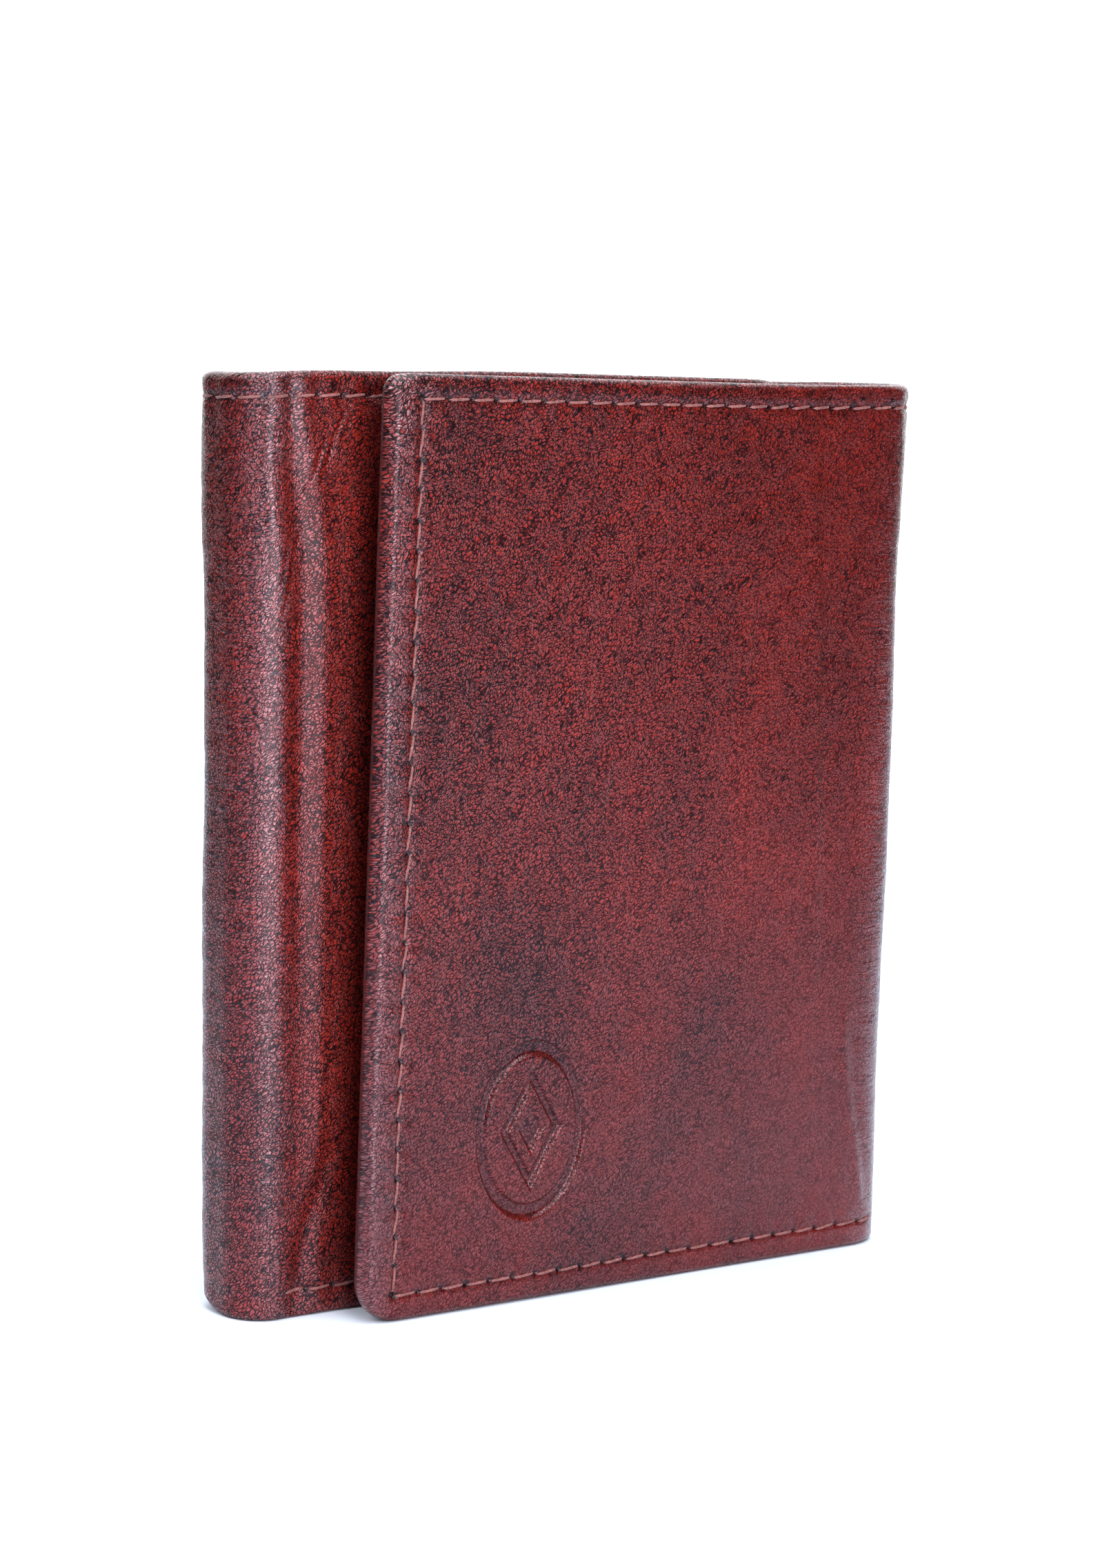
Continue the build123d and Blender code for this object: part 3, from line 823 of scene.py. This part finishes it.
def fold_amount(u, z):
    """How creased and polished the leather is: in the folds and along the free edges, less at the foot."""
    left = 0.3 * between(u, (U_FRONT_LEFT - 5, U_FRONT_LEFT + 1), (U_BACK - 1, U_BACK + 4))
    left = (left + 0.9 * hump(u - (U_FRONT_LEFT + 2.0), 3.5)) * (0.7 + 0.3 * smooth(z, 5, 75))
    right = between(u, (U_BACK_RIGHT - 3, U_BACK_RIGHT + 2), (U_FRONT - 2, U_FRONT + 3))
    bead = (1 - smooth(from_free_edge(u), 2.5, 4.0)) * 0.6
    on_left_spine = between(u, (U_FRONT_LEFT, U_FRONT_LEFT + 3), (U_BACK, U_BACK + 4))
    dull = 0.26 * (1 - smooth(z, 15, 75)) * on_left_spine
    return np.maximum(left + right * 0.6, bead) - dull


def build_outer_leather():
    """The outer leather's four pieces, in the order of PARTS."""
    free_rims, level_rims = rim_lines(FREE_RIM), rim_lines(LEVEL_RIM)
    wide, tall, fine = EMBLEM_GRID
    emblem_u, emblem_z = EMBLEM_CENTRE
    hems = (HEM_WIDTH - 0.2, HEM_WIDTH + 0.4)
    u_lines = merge_lines(
        U_INNER_EDGE, U_FRONT_EDGE, lines(emblem_u - wide, emblem_u + wide, fine), hole_lines(LEVEL_HOLES),
        *[row + SIDE_CHANNEL_LINES for row in U_SIDE_ROWS], lines(U_FRONT_LEFT - 10, U_FRONT_LEFT + 1, 0.25),
        lines(U_FRONT_LEFT, U_BACK + 2, 0.4), lines(U_BACK_RIGHT - 3, U_FRONT + 8, 0.5), closest=0.16,
        keep=[*free_rims, *(U_FRONT_EDGE - free_rims), *U_SEAMS])
    z_lines = merge_lines(
        0, HEIGHT, lines(emblem_z - tall, emblem_z + tall, fine), hole_lines(UPRIGHT_HOLES),
        *[row + CHANNEL_LINES for row in (TOP_ROW, BOTTOM_ROW)], closest=0.16,
        keep=[*level_rims, *(HEIGHT - level_rims), *hems, *(HEIGHT - hem for hem in hems)])
    sheet = Layer(u_lines, z_lines, outer_near, outer_far, rim_radius, CORNERS)
    # The emblem's pressed lines are darkened in the colour as painted shade, and so are the needle holes.
    measures = {"burnish_and_shade": burnish_and_shade_at, "pressed_and_shade": emblem_pressed, "fold": fold_amount, "worn": worn_at,
                "coarse": coarse_at}
    values = [(name, measure(sheet.u, sheet.z)) for name, measure in measures.items()]
    return [sheet.piece(f"{part}_outer_leather", low, high, values)
            for part, low, high in zip(PARTS, U_SEAMS, U_SEAMS[1:])]


# ---------------------------------------------------------------- the bodies on either side of each piece

def spot(u):
    """A point of the plain outer line at mid height, in metres, before settling."""
    (x, y), = along(u)[0]
    return (x * MM, y * MM, HEIGHT / 2 * MM)


BENDS = (
    ("inner_flap", "left_spine", U_FRONT_LEFT - 0.5, U_LEFT_SPINE),
    ("left_spine", "back_panel", U_BACK_LEFT + 3.7, U_BACK + 3.5),
    ("back_panel", "right_spine", U_BACK_RIGHT - 1.0, U_RIGHT_SPINE),
    ("right_spine", "front_flap", U_FRONT_RIGHT, U_FRONT + 1.0),
)


def dress(piece, material):
    piece.data.materials.clear()
    piece.data.materials.append(material)


def attach(piece, number, material, node_ending):
    """Dresses one of the four pieces of a layer, bakes its place into its points and hides the CAD nodes that
    it stands for. The first piece covers the inner flap and the narrow spine."""
    dress(piece, material)
    before, after, start, end = BENDS[number]
    spot(start)
    spot(end)
    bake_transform(piece)
    covered = ("inner_flap", "left_spine") if number == 0 else (PARTS[number],)
    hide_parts(*[f"{part}_{node_ending}" for part in covered])


covers = build_outer_leather()
for number, piece in enumerate(covers):
    attach(piece, number, outer_leather, "cover")


# ---------------------------------------------------------------- thread

THREAD_RADIUS = 0.17
THREAD_RISE = 0.13
THREAD_SIDES = 8
PLY_TURNS = 2.5


def tube(points, outward):
    """The rings of a short two-ply thread along points, tapering into its holes at both ends."""
    tangents = np.gradient(points, axis=0)
    tangents /= np.linalg.norm(tangents, axis=1, keepdims=True)
    across = np.cross(tangents, outward)
    across /= np.linalg.norm(across, axis=1, keepdims=True)
    up = np.cross(across, tangents)
    share = np.linspace(0, 1, len(points))
    around = np.linspace(0, 2 * pi, THREAD_SIDES, endpoint=False)
    twist = 1 + 0.16 * np.cos(2 * around[None, :] - 2 * pi * PLY_TURNS * share[:, None])
    taper = np.sqrt(np.clip(1 - (2 * share - 1) ** 6, 0.02, 1))[:, None]
    reach = THREAD_RADIUS * MM * twist * taper
    ring = across[:, None] * (np.cos(around)[None, :] * reach)[..., None]
    ring = ring + up[:, None] * (np.sin(around)[None, :] * reach)[..., None]
    return points[:, None] + ring


def join_tubes(name, tubes, hides):
    """Many closed tubes as one mesh. Each end is a fan of triangles round its middle."""
    points, faces, hide_points, base = [], [], [], 0
    for rings, hide in zip(tubes, hides):
        count, sides = rings.shape[:2]
        index = base + np.arange(count * sides).reshape(count, sides)
        wrapped = np.concatenate([index, index[:, :1]], axis=1)
        faces.append(grid_faces(wrapped.T))
        middle = base + count * sides
        for end, ring in ((0, index[0][::-1]), (1, index[-1])):
            centre = np.full(sides, middle + end)
            faces.append(np.stack([ring, np.roll(ring, -1), centre, centre], -1))
        points += [rings.reshape(-1, 3), rings[[0, -1]].mean(axis=1)]
        hide_points += [np.repeat(hide, sides, axis=0), hide[[0, -1]]]
        base += count * sides + 2
    points, faces, hide_points = map(np.concatenate, (points, faces, hide_points))
    return make_mesh(name, points, faces[:, ::-1], hide_points)


def stitch_run(start, end, surface_depth, facing_in, seed):
    """One stitch's centre line in (u, z, depth), out of one hole and into the next."""
    random = np.random.default_rng(seed)
    share = np.linspace(0.07, 0.93, 11)
    u = start[0] + (end[0] - start[0]) * share
    z = start[1] + (end[1] - start[1]) * share
    tilt = random.normal(0.11, 0.035) * np.cos(pi * share)
    if abs(end[0] - start[0]) > abs(end[1] - start[1]):
        z = z + tilt - 0.1
    else:
        u = u + 1.6 * tilt
    lift = THREAD_RISE * np.sin(pi * share) ** 0.5 - 0.12
    return u, z, surface_depth(u, z) + (lift if facing_in else -lift)


def sew(name, stitches, surface_depth, facing_in=False):
    """A thread piece from a list of hole pairs. surface_depth gives the depth of what it lies on."""
    tubes, hides = [], []
    for number, (start, end) in enumerate(stitches):
        u, z, depth = stitch_run(start, end, surface_depth, facing_in, 100 + number)
        outward = np.column_stack([along(u)[1], np.zeros(len(u))]) * (-1 if facing_in else 1)
        tubes.append(tube(place(u, z, depth), outward))
        hides.append(np.stack([u, z, depth], axis=-1))
    return join_tubes(name, tubes, hides)


def cover_stitches():
    """Every stitch of the outer rows, as pairs of holes."""
    found = []
    for low, high in zip(LEVEL_HOLES, LEVEL_HOLES[1:]):
        found.append(((low, TOP_ROW), (high, TOP_ROW)))
        if bottom_row_sewn((low + high) / 2) > 0.5:
            found.append(((low, BOTTOM_ROW), (high, BOTTOM_ROW)))
    for row in U_SIDE_ROWS:
        found += [((row, low), (row, high)) for low, high in zip(UPRIGHT_HOLES, UPRIGHT_HOLES[1:])]
    return found


def build_edge_thread():
    for number, part in enumerate(PARTS):
        low, high = U_SEAMS[number:number + 2]
        own = [pair for pair in cover_stitches() if low <= (pair[0][0] + pair[1][0]) / 2 < high]
        piece = sew(f"{part}_edge_thread", own, lambda u, z: -relief(u, z))
        attach(piece, number, thread, "edge_stitching")


build_edge_thread()


# ---------------------------------------------------------------- linings and inner leather, end to end

def cut_layer(layer, piece_ending, material, node_ending, values=()):
    """A layer's four pieces and the lines between them, its ends included."""
    ends = (layer.u_lines[0], *U_SEAMS[1:-1], layer.u_lines[-1])
    made = []
    for number, part in enumerate(PARTS):
        made.append(layer.piece(f"{part}_{piece_ending}", ends[number], ends[number + 1], values))
        attach(made[-1], number, material, node_ending)
    return made, ends


COVER_LINING_INSET = HEM_WIDTH + 0.3
COVER_LINING_DEPTH = 1.62
COVER_LINING_THICK = 0.2


def build_cover_lining():
    low, high = U_INNER_EDGE + COVER_LINING_INSET, U_FRONT_EDGE - COVER_LINING_INSET
    u_lines = merge_lines(low, high, lines(U_INNER_EDGE, U_FRONT_EDGE, 2.0),
                          lines(U_FRONT_LEFT - 2, U_BACK + 4, 0.6), lines(U_BACK_RIGHT - 2, U_FRONT + 2, 0.8),
                          closest=0.3, keep=U_SEAMS[1:-1])
    z_lines = lines(COVER_LINING_INSET, HEIGHT - COVER_LINING_INSET, 2.0)
    near = lambda u, z, edge: COVER_LINING_DEPTH + 0.04 * rough(u, z, 6.0, 51)
    far = lambda u, z, edge: near(u, z, edge) + COVER_LINING_THICK
    layer = Layer(u_lines, z_lines, near, far, COVER_LINING_THICK / 2)
    pieces, ends = cut_layer(layer, "cover_lining", cloth, "lining")
    for number, piece in enumerate(pieces):
        flat = ((ends[number + 1] - ends[number]) * MM, (z_lines[-1] - z_lines[0]) * MM)


INNER_NEAR = 2.3
INNER_THICK = 0.55
INNER_INSET = 3.0
INNER_BOTTOM = 1.0
INNER_TOP = HEIGHT - 3.0


def inner_surface_wave(u, z):
    """The inner leather is slacker than the cover: it ripples a little, more so where it is not backed."""
    slack = sum(between(u, (start - 3, start + 3), (end - 3, end + 3))
                for start, end in SPINES)
    return 0.02 * rough(u, z, 9.0, 52) + 0.12 * slack * rough(u, z, 5.0, 53)


def build_inner_leather():
    low, high = U_INNER_EDGE + INNER_INSET, U_FRONT_EDGE - INNER_INSET
    u_lines = merge_lines(low, high, lines(U_INNER_EDGE, U_FRONT_EDGE, 1.2),
                          lines(U_FRONT_LEFT - 3, U_BACK + 4, 0.5), lines(U_BACK_RIGHT - 3, U_FRONT + 3, 0.6),
                          closest=0.2, keep=[*U_SEAMS[1:-1], low + 0.15, high - 0.15])
    rims = np.array((0.08, 0.2, 0.32))
    z_lines = merge_lines(INNER_BOTTOM, INNER_TOP, lines(INNER_BOTTOM, INNER_TOP, 1.2), closest=0.06,
                          keep=[*(INNER_BOTTOM + rims), *(INNER_TOP - rims)])
    near = lambda u, z, edge: INNER_NEAR + inner_surface_wave(u, z)
    far = lambda u, z, edge: near(u, z, edge) + INNER_THICK
    layer = Layer(u_lines, z_lines, near, far, INNER_THICK / 2, corners=(2.0, 2.0))
    values = [("burnish_and_shade", 0.1 * rough(layer.u, layer.z, 12, 54)), ("fold", fold_amount(layer.u, layer.z))]
    cut_layer(layer, "inner_leather_skin", inner_leather, "inner_leather", values)


build_cover_lining()
build_inner_leather()


# ---------------------------------------------------------------- pockets, window and their thread

BODY_OF = {"back": "back_panel", "front_flap": "front_flap", "inner_flap": "inner_flap"}
FACE_OF = {"back": Y_BACK, "front_flap": Y_FRONT, "inner_flap": Y_INNER}
POCKET_SEAM_INSET = 2.5
POCKET_CORNER = 1.5
MOUTH_CREASE_INSET = 2.1


def extent(node, panel):
    """What a node that lies flat on a panel takes up: low and high u, low and high z, near and far depth."""
    low, high = side(node, 0, 0), side(node, 1, 0)
    if panel == "back":
        u_low, u_high = U_BACK + low - X_LEFT_FLAT, U_BACK + high - X_LEFT_FLAT
    elif panel == "front_flap":
        u_low, u_high = U_FRONT + X_RIGHT_FLAT - high, U_FRONT + X_RIGHT_FLAT - low
    else:
        u_low, u_high = X_INNER_EDGE - high, X_INNER_EDGE - low
    depths = sorted(abs(side(node, which, 1) - FACE_OF[panel]) for which in (0, 1))
    return u_low, u_high, side(node, 0, 2), side(node, 1, 2), *depths


def lay(piece, panel, material, node):
    """Dresses a piece that lies on one panel, hangs it from that panel's body and hides the CAD node that it
    stands for.
    """
    dress(piece, material)
    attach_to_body(piece, BODY_OF[panel])
    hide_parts(node)


def rimmed_lines(low, high, rims, step, *finer, closest=0.01):
    """Grid lines with closer ones at both rims."""
    return merge_lines(low, high, lines(low, high, step), *finer, closest=closest,
                       keep=[*(low + rims), *(high - rims)])


def leaf(panel, number, seed):
    """A pocket's leather: rounded rim, a creased line along its mouth and a slightly slack middle."""
    node = f"{panel}_card_pocket_{number}"
    u_low, u_high, z_low, z_high, near_depth, far_depth = extent(node, panel)
    thick = far_depth - near_depth
    rims = np.array((0.03, 0.1, 0.2, 0.3)) * thick / 0.6
    mouth = z_high - MOUTH_CREASE_INSET

    def far(u, z, edge):
        slack = 0.05 * rough(u, z, 8.0, seed) * smooth(edge, 0, 4)
        sewn = 0.1 * hump(edge - POCKET_SEAM_INSET, 0.5) * (z < z_high - 4)
        return far_depth + slack - 0.11 * hump(z - mouth, 0.28) - sewn

    layer = Layer(rimmed_lines(u_low, u_high, rims, 1.1, closest=0.05),
                  rimmed_lines(z_low, z_high, rims, 1.1, lines(mouth - 1.1, mouth + 0.9, 0.22), closest=0.05),
                  plain(near_depth + 0.01), far, thick / 2 - 0.01, corners=(POCKET_CORNER, POCKET_CORNER))
    # The creased line along the mouth is darkened as painted shade, and the leaf is lighter along its rim.
    values = [("burnish_and_shade", 0.1 * rough(layer.u, layer.z, 13, seed + 1) + 0.25 * hump(layer.edge, 0.7)),
              ("pressed_and_shade", 0.8 * hump(layer.z - mouth, 0.3))]
    piece = layer.piece(f"{panel}_card_pocket_leather_{number}", u_low, u_high, values)
    lay(piece, panel, pocket_leather, node)


def plain(value):
    return lambda u, z, edge: np.full_like(u, value)


def sew_inside(name, node, panel, depth, stitching_node):
    """Thread along a leaf's bottom and up both its sides."""
    u_low, u_high, _, z_high, _, _ = extent(node, panel)
    sides = (u_low + POCKET_SEAM_INSET, u_high - POCKET_SEAM_INSET)
    level = hole_positions(*sides)
    upright = hole_positions(BOTTOM_ROW, z_high - POCKET_SEAM_INSET)
    found = [((a, BOTTOM_ROW), (b, BOTTOM_ROW)) for a, b in zip(level, level[1:])]
    found += [((u, a), (u, b)) for u in sides for a, b in zip(upright, upright[1:])]
    piece = sew(name, found, lambda u, z: np.full_like(u, depth), facing_in=True)
    lay(piece, panel, thread, stitching_node)


def build_pockets():
    for panel, seed in (("back", 61), ("inner_flap", 71)):
        for number in (1, 2, 3):
            leaf(panel, number, seed + 2 * number)
        front = f"{panel}_card_pocket_3"
        sew_inside(f"{panel}_pocket_thread", front, panel, extent(front, panel)[-1],
                   f"{panel}_pocket_stitching")


build_pockets()


# ---------------------------------------------------------------- the identity card window

WINDOW_OPENING = (46.0, 76.0)
WINDOW_CORNER = 4.0
NOTCH_RADIUS = 8.0
OUTLINE_PER_CORNER = 10
OUTLINE_PER_SIDE = 48
WINDOW_NODE = "front_flap_id_window"
FRAME_NODE = "front_flap_id_frame"


def build_window():
    u_low, u_high, z_low, z_high, near_depth, far_depth = extent(WINDOW_NODE, "front_flap")
    layer = Layer(lines(u_low, u_high, 1.3), lines(z_low, z_high, 1.3), plain(near_depth + 0.03),
                  plain(far_depth - 0.03), 0.05, corners=(WINDOW_CORNER, WINDOW_CORNER))
    piece = layer.piece("front_flap_id_clear_sheet", u_low, u_high)
    lay(piece, "front_flap", clear_sheet, WINDOW_NODE)


def rounded_outline(centre, half_width, half_height, radius):
    """Points round a rounded rectangle, anticlockwise in (u, z), the same count whatever its size."""
    points = []
    corners = ((1, -1, 270), (1, 1, 0), (-1, 1, 90), (-1, -1, 180))
    for number, (across, up, start) in enumerate(corners):
        middle = np.array((across * (half_width - radius), up * (half_height - radius)))
        for angle in np.radians(np.linspace(start, start + 90, OUTLINE_PER_CORNER)):
            points.append(middle + radius * np.array((cos(angle), sin(angle))))
        ahead = radians(start + 90)
        next_across, next_up, _ = corners[(number + 1) % 4]
        begin = points[-1]
        end = np.array((next_across * (half_width - radius), next_up * (half_height - radius)))
        end = end + radius * np.array((cos(ahead), sin(ahead)))
        points += [begin + (end - begin) * share for share in np.linspace(0, 1, OUTLINE_PER_SIDE + 2)[1:-1]]
    return np.array(points) + centre


def build_frame():
    """The leather frame round the window, with a thumb notch in its top edge, a creased line round its
    opening and a row of thread. Its rings of points run from its outer edge over its face to the opening,
    then back behind."""
    u_low, u_high, z_low, z_high, near_depth, far_depth = extent(FRAME_NODE, "front_flap")
    opening = extent(WINDOW_NODE, "front_flap")
    centre = np.array([(u_low + u_high) / 2, (z_low + z_high) / 2])
    outer = rounded_outline(centre, (u_high - u_low) / 2, (z_high - z_low) / 2, POCKET_CORNER)
    off_middle = outer[:, 0] - centre[0]
    notch = z_high + NOTCH_RADIUS / 2 - np.sqrt(np.maximum(NOTCH_RADIUS**2 - off_middle**2, 0))
    on_top = (outer[:, 1] > z_high - 0.01) & (np.abs(off_middle) < NOTCH_RADIUS)
    outer[on_top, 1] = np.minimum(outer[on_top, 1], notch[on_top])
    opening_centre = np.array([(opening[0] + opening[1]) / 2, (opening[2] + opening[3]) / 2])
    inner = rounded_outline(opening_centre, WINDOW_OPENING[0] / 2, WINDOW_OPENING[1] / 2, WINDOW_CORNER)
    width = np.linalg.norm(inner - outer, axis=1)
    half = (far_depth - near_depth) / 2
    middle = (far_depth + near_depth) / 2
    turns = np.radians(np.linspace(0, 90, 5))
    rims = [half * (1 - cos(t)) for t in turns]
    rim_heights = [half * sin(t) for t in turns]
    stops = rims + [0.9, 1.5, 2.1, 2.5, 2.9, 3.5]
    heights = rim_heights + [half, half, half * 0.8, half * 0.65, half * 0.8, half]
    inner_stops = sorted(set(np.round(rims + [0.4, 0.9, 1.5, 2.0, 2.25, 2.5, 3.1], 4)))
    inner_heights = [half - 0.12 * float(hump(stop - 1.6, 0.3)) if stop > half else
                     float(np.interp(stop, rims, rim_heights)) for stop in inner_stops]
    inwards = lambda stop: outer + (inner - outer) * np.minimum(stop / width, 0.48)[:, None]
    outwards = lambda stop: inner + (outer - inner) * np.minimum(stop / width, 0.48)[:, None]
    steps = [(inwards(stop), middle + rise) for stop, rise in zip(stops, heights)]
    steps += [(outwards(stop), middle + rise) for stop, rise in zip(inner_stops[::-1], inner_heights[::-1])]
    steps += [(outwards(stop), middle - rise) for stop, rise in zip(rims[1:], rim_heights[1:])]
    steps += [(inwards(stop), middle - rise) for stop, rise in zip(rims[:0:-1], rim_heights[:0:-1])]
    rings, depths = zip(*steps)
    u, z = np.moveaxis(np.stack(rings), -1, 0)
    depth = np.repeat(np.array(depths)[:, None], u.shape[1], axis=1)
    index = np.pad(np.arange(u.size).reshape(u.shape), ((0, 1), (0, 1)), mode="wrap")
    hide = np.stack([u, z, depth + INSIDE_OF_HIDE], axis=-1).reshape(-1, 3)
    # The creased line round the opening is darkened as painted shade.
    values = [("burnish_and_shade", 0.1 * rough(u, z, 13, 81).ravel()),
              ("pressed_and_shade", hump(depth - middle - half + 0.12, 0.06).ravel())]
    piece = make_mesh("front_flap_id_frame_leather", place(u, z, depth).reshape(-1, 3), grid_faces(index),
                      hide, values)
    lay(piece, "front_flap", pocket_leather, FRAME_NODE)
    sew_inside("front_flap_frame_thread", FRAME_NODE, "front_flap", far_depth - half * 0.3,
               "front_flap_frame_stitching")


build_window()
build_frame()


# ---------------------------------------------------------------- boards and panel linings

def flat_sheet(name, node, panel, clearance, material):
    """A thin flat piece of the CAD's size, which follows the leather that it is glued to, and that size."""
    u_low, u_high, z_low, z_high, near_depth, far_depth = extent(node, panel)
    near_depth, far_depth = near_depth + clearance, far_depth - clearance
    rims = np.array((0.02, 0.06))
    layer = Layer(rimmed_lines(u_low, u_high, rims, 2.0), rimmed_lines(z_low, z_high, rims, 2.0),
                  plain(near_depth), plain(far_depth), (far_depth - near_depth) / 2, corners=(2.0, 2.0))
    piece = layer.piece(name, u_low, u_high)
    lay(piece, panel, material, node)
    return piece, ((u_high - u_low) * MM, (z_high - z_low) * MM)


for panel in BODY_OF:
    flat_sheet(f"{panel}_stiffening_board", f"{panel}_board", panel, 0.01, board_stock)
    panel_cloth, flat_size = flat_sheet(f"{panel}_panel_cloth", f"{panel}_panel_lining", panel, 0.02, cloth)


# ---------------------------------------------------------------- floor, backdrop, lights and camera

CENTRE = Vector((0, 0, HEIGHT / 2 * MM))
TABLE_FRONT, TABLE_BACK, TABLE_LEFT, TABLE_RIGHT = -0.45, 0.9, -0.3, 0.4
BACKDROP_HEIGHT = 1.6
BACKDROP_REACH = 0.85
ROOM_REACH, ROOM_FLOOR, ROOM_TOP = 4.0, -0.002, 4.0


def stage_mesh(name, corners, faces, colour, glow=0.0):
    """A white surface that is no part of the wallet."""
    shader = Shader(f"{name}_white")
    mesh = bpy.data.meshes.new(name)
    mesh.from_pydata(corners, [], faces)
    mesh.materials.append(shader.surface(Base_Color=colour, Roughness=0.75, Specular_IOR_Level=0.2,
                                         Emission_Color=(1, 1, 1, 1), Emission_Strength=glow))
    thing = add_object(name, mesh)
    thing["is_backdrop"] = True
    return thing


def softbox(name, azimuth, elevation, distance, size, power, colour=(1, 1, 1), middle=CENTRE):
    """A soft light at an azimuth round from straight in front, towards the right, facing the middle."""
    data = bpy.data.lights.new(name, "AREA")
    data.shape, data.size, data.size_y = "RECTANGLE", *size
    data.energy, data.color = power, colour
    lamp = add_object(name, data)
    a, e = radians(azimuth), radians(elevation)
    offset = Vector((sin(a) * cos(e), -cos(a) * cos(e), sin(e))) * distance
    lamp.location = middle + offset
    lamp.rotation_mode = "QUATERNION"
    lamp.rotation_quaternion = offset.to_track_quat("Z", "Y")
    lamp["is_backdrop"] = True


def build_room():
    """A white room seen by the camera alone, so that every view has a pale floor and walls."""
    around = ((-1, -1), (1, -1), (1, 1), (-1, 1))
    corners = [(x * ROOM_REACH, y * ROOM_REACH, z) for z in (ROOM_FLOOR, ROOM_TOP) for x, y in around]
    faces = [(0, 1, 2, 3), (4, 7, 6, 5), *[(k, k + 4, (k + 1) % 4 + 4, (k + 1) % 4) for k in range(4)]]
    room = stage_mesh("surround", corners, faces, (0, 0, 0, 1), glow=1.0)
    for ray in ("diffuse", "glossy", "transmission", "volume_scatter", "shadow"):
        setattr(room, f"visible_{ray}", False)


def build_stage():
    """A white table seen from the camera's side, and a glowing white backdrop behind it."""
    ahead = Vector((-sin(radians(CAMERA_AZIMUTH)), cos(radians(CAMERA_AZIMUTH)), 0))
    aside = Vector((ahead.y, -ahead.x, 0))
    ground = lambda forward, sideways, height=0.0: ahead * forward + aside * sideways + Vector((0, 0, height))
    stage_mesh("floor", [ground(TABLE_FRONT, TABLE_LEFT), ground(TABLE_FRONT, TABLE_RIGHT),
                         ground(TABLE_BACK, TABLE_RIGHT), ground(TABLE_BACK, TABLE_LEFT)],
               [(0, 1, 2, 3)], (0.76, 0.84, 0.98, 1))
    stage_mesh("backdrop", [ground(TABLE_BACK, sideways, height) for sideways, height in (
        (-BACKDROP_REACH, 0), (BACKDROP_REACH, 0), (BACKDROP_REACH, BACKDROP_HEIGHT),
        (-BACKDROP_REACH, BACKDROP_HEIGHT))], [(0, 1, 2, 3)], (0.88, 0.9, 0.93, 1), glow=1.0)
    softbox("strip_light", -18, 0, 0.25, size=(0.15, 0.25), power=0.8, colour=(1.0, 0.96, 0.94),
            middle=Vector((0, 0, 0.128)))
    softbox("high_front_softbox", -8, 56, 1.2, size=(0.8, 0.5), power=4.0)
    softbox("left_softbox", -95, 45, 1.2, size=(0.8, 0.6), power=8.0)
    softbox("top_softbox", 0, 84, 1.5, size=(1.4, 1.4), power=25)
    world = bpy.data.worlds.new("studio")
    bpy.context.scene.world = world
    world.use_nodes = True
    background = world.node_tree.nodes["Background"]
    background.inputs["Color"].default_value = (0.93, 0.96, 1, 1)
    background.inputs["Strength"].default_value = 0.05
    bpy.context.scene.view_settings.view_transform = "Standard"


CAMERA_PLACE = Vector((-267.9, -341.25, 114.7)) * MM
CAMERA_AZIMUTH, CAMERA_PITCH, CAMERA_ROLL = -37.9, 7.1, 2.2
CAMERA_LENS = 82.36


def build_camera():
    data = bpy.data.cameras.new("camera")
    data.sensor_width = 36.0
    data.lens = CAMERA_LENS
    data.clip_start, data.clip_end = 0.01, 50
    camera = add_object("camera", data)
    a, p, r = radians(CAMERA_AZIMUTH), radians(CAMERA_PITCH), radians(CAMERA_ROLL)
    forward = Vector((-sin(a) * cos(p), cos(a) * cos(p), -sin(p)))
    level = Vector((cos(a), sin(a), 0))
    up = level.cross(forward)
    right = level * cos(r) + up * sin(r)
    above = up * cos(r) - level * sin(r)
    turn = Matrix((right, above, -forward)).transposed().to_4x4()
    camera.matrix_world = Matrix.Translation(CAMERA_PLACE) @ turn
    bpy.context.scene.camera = camera


build_stage()
build_room()
build_camera()


def write_sizes():
    boxes = {"cad": CAD_BOX, "visual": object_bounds()}
    json.dumps({name: [list(corner) for corner in box] for name, box in boxes.items()})


write_sizes()
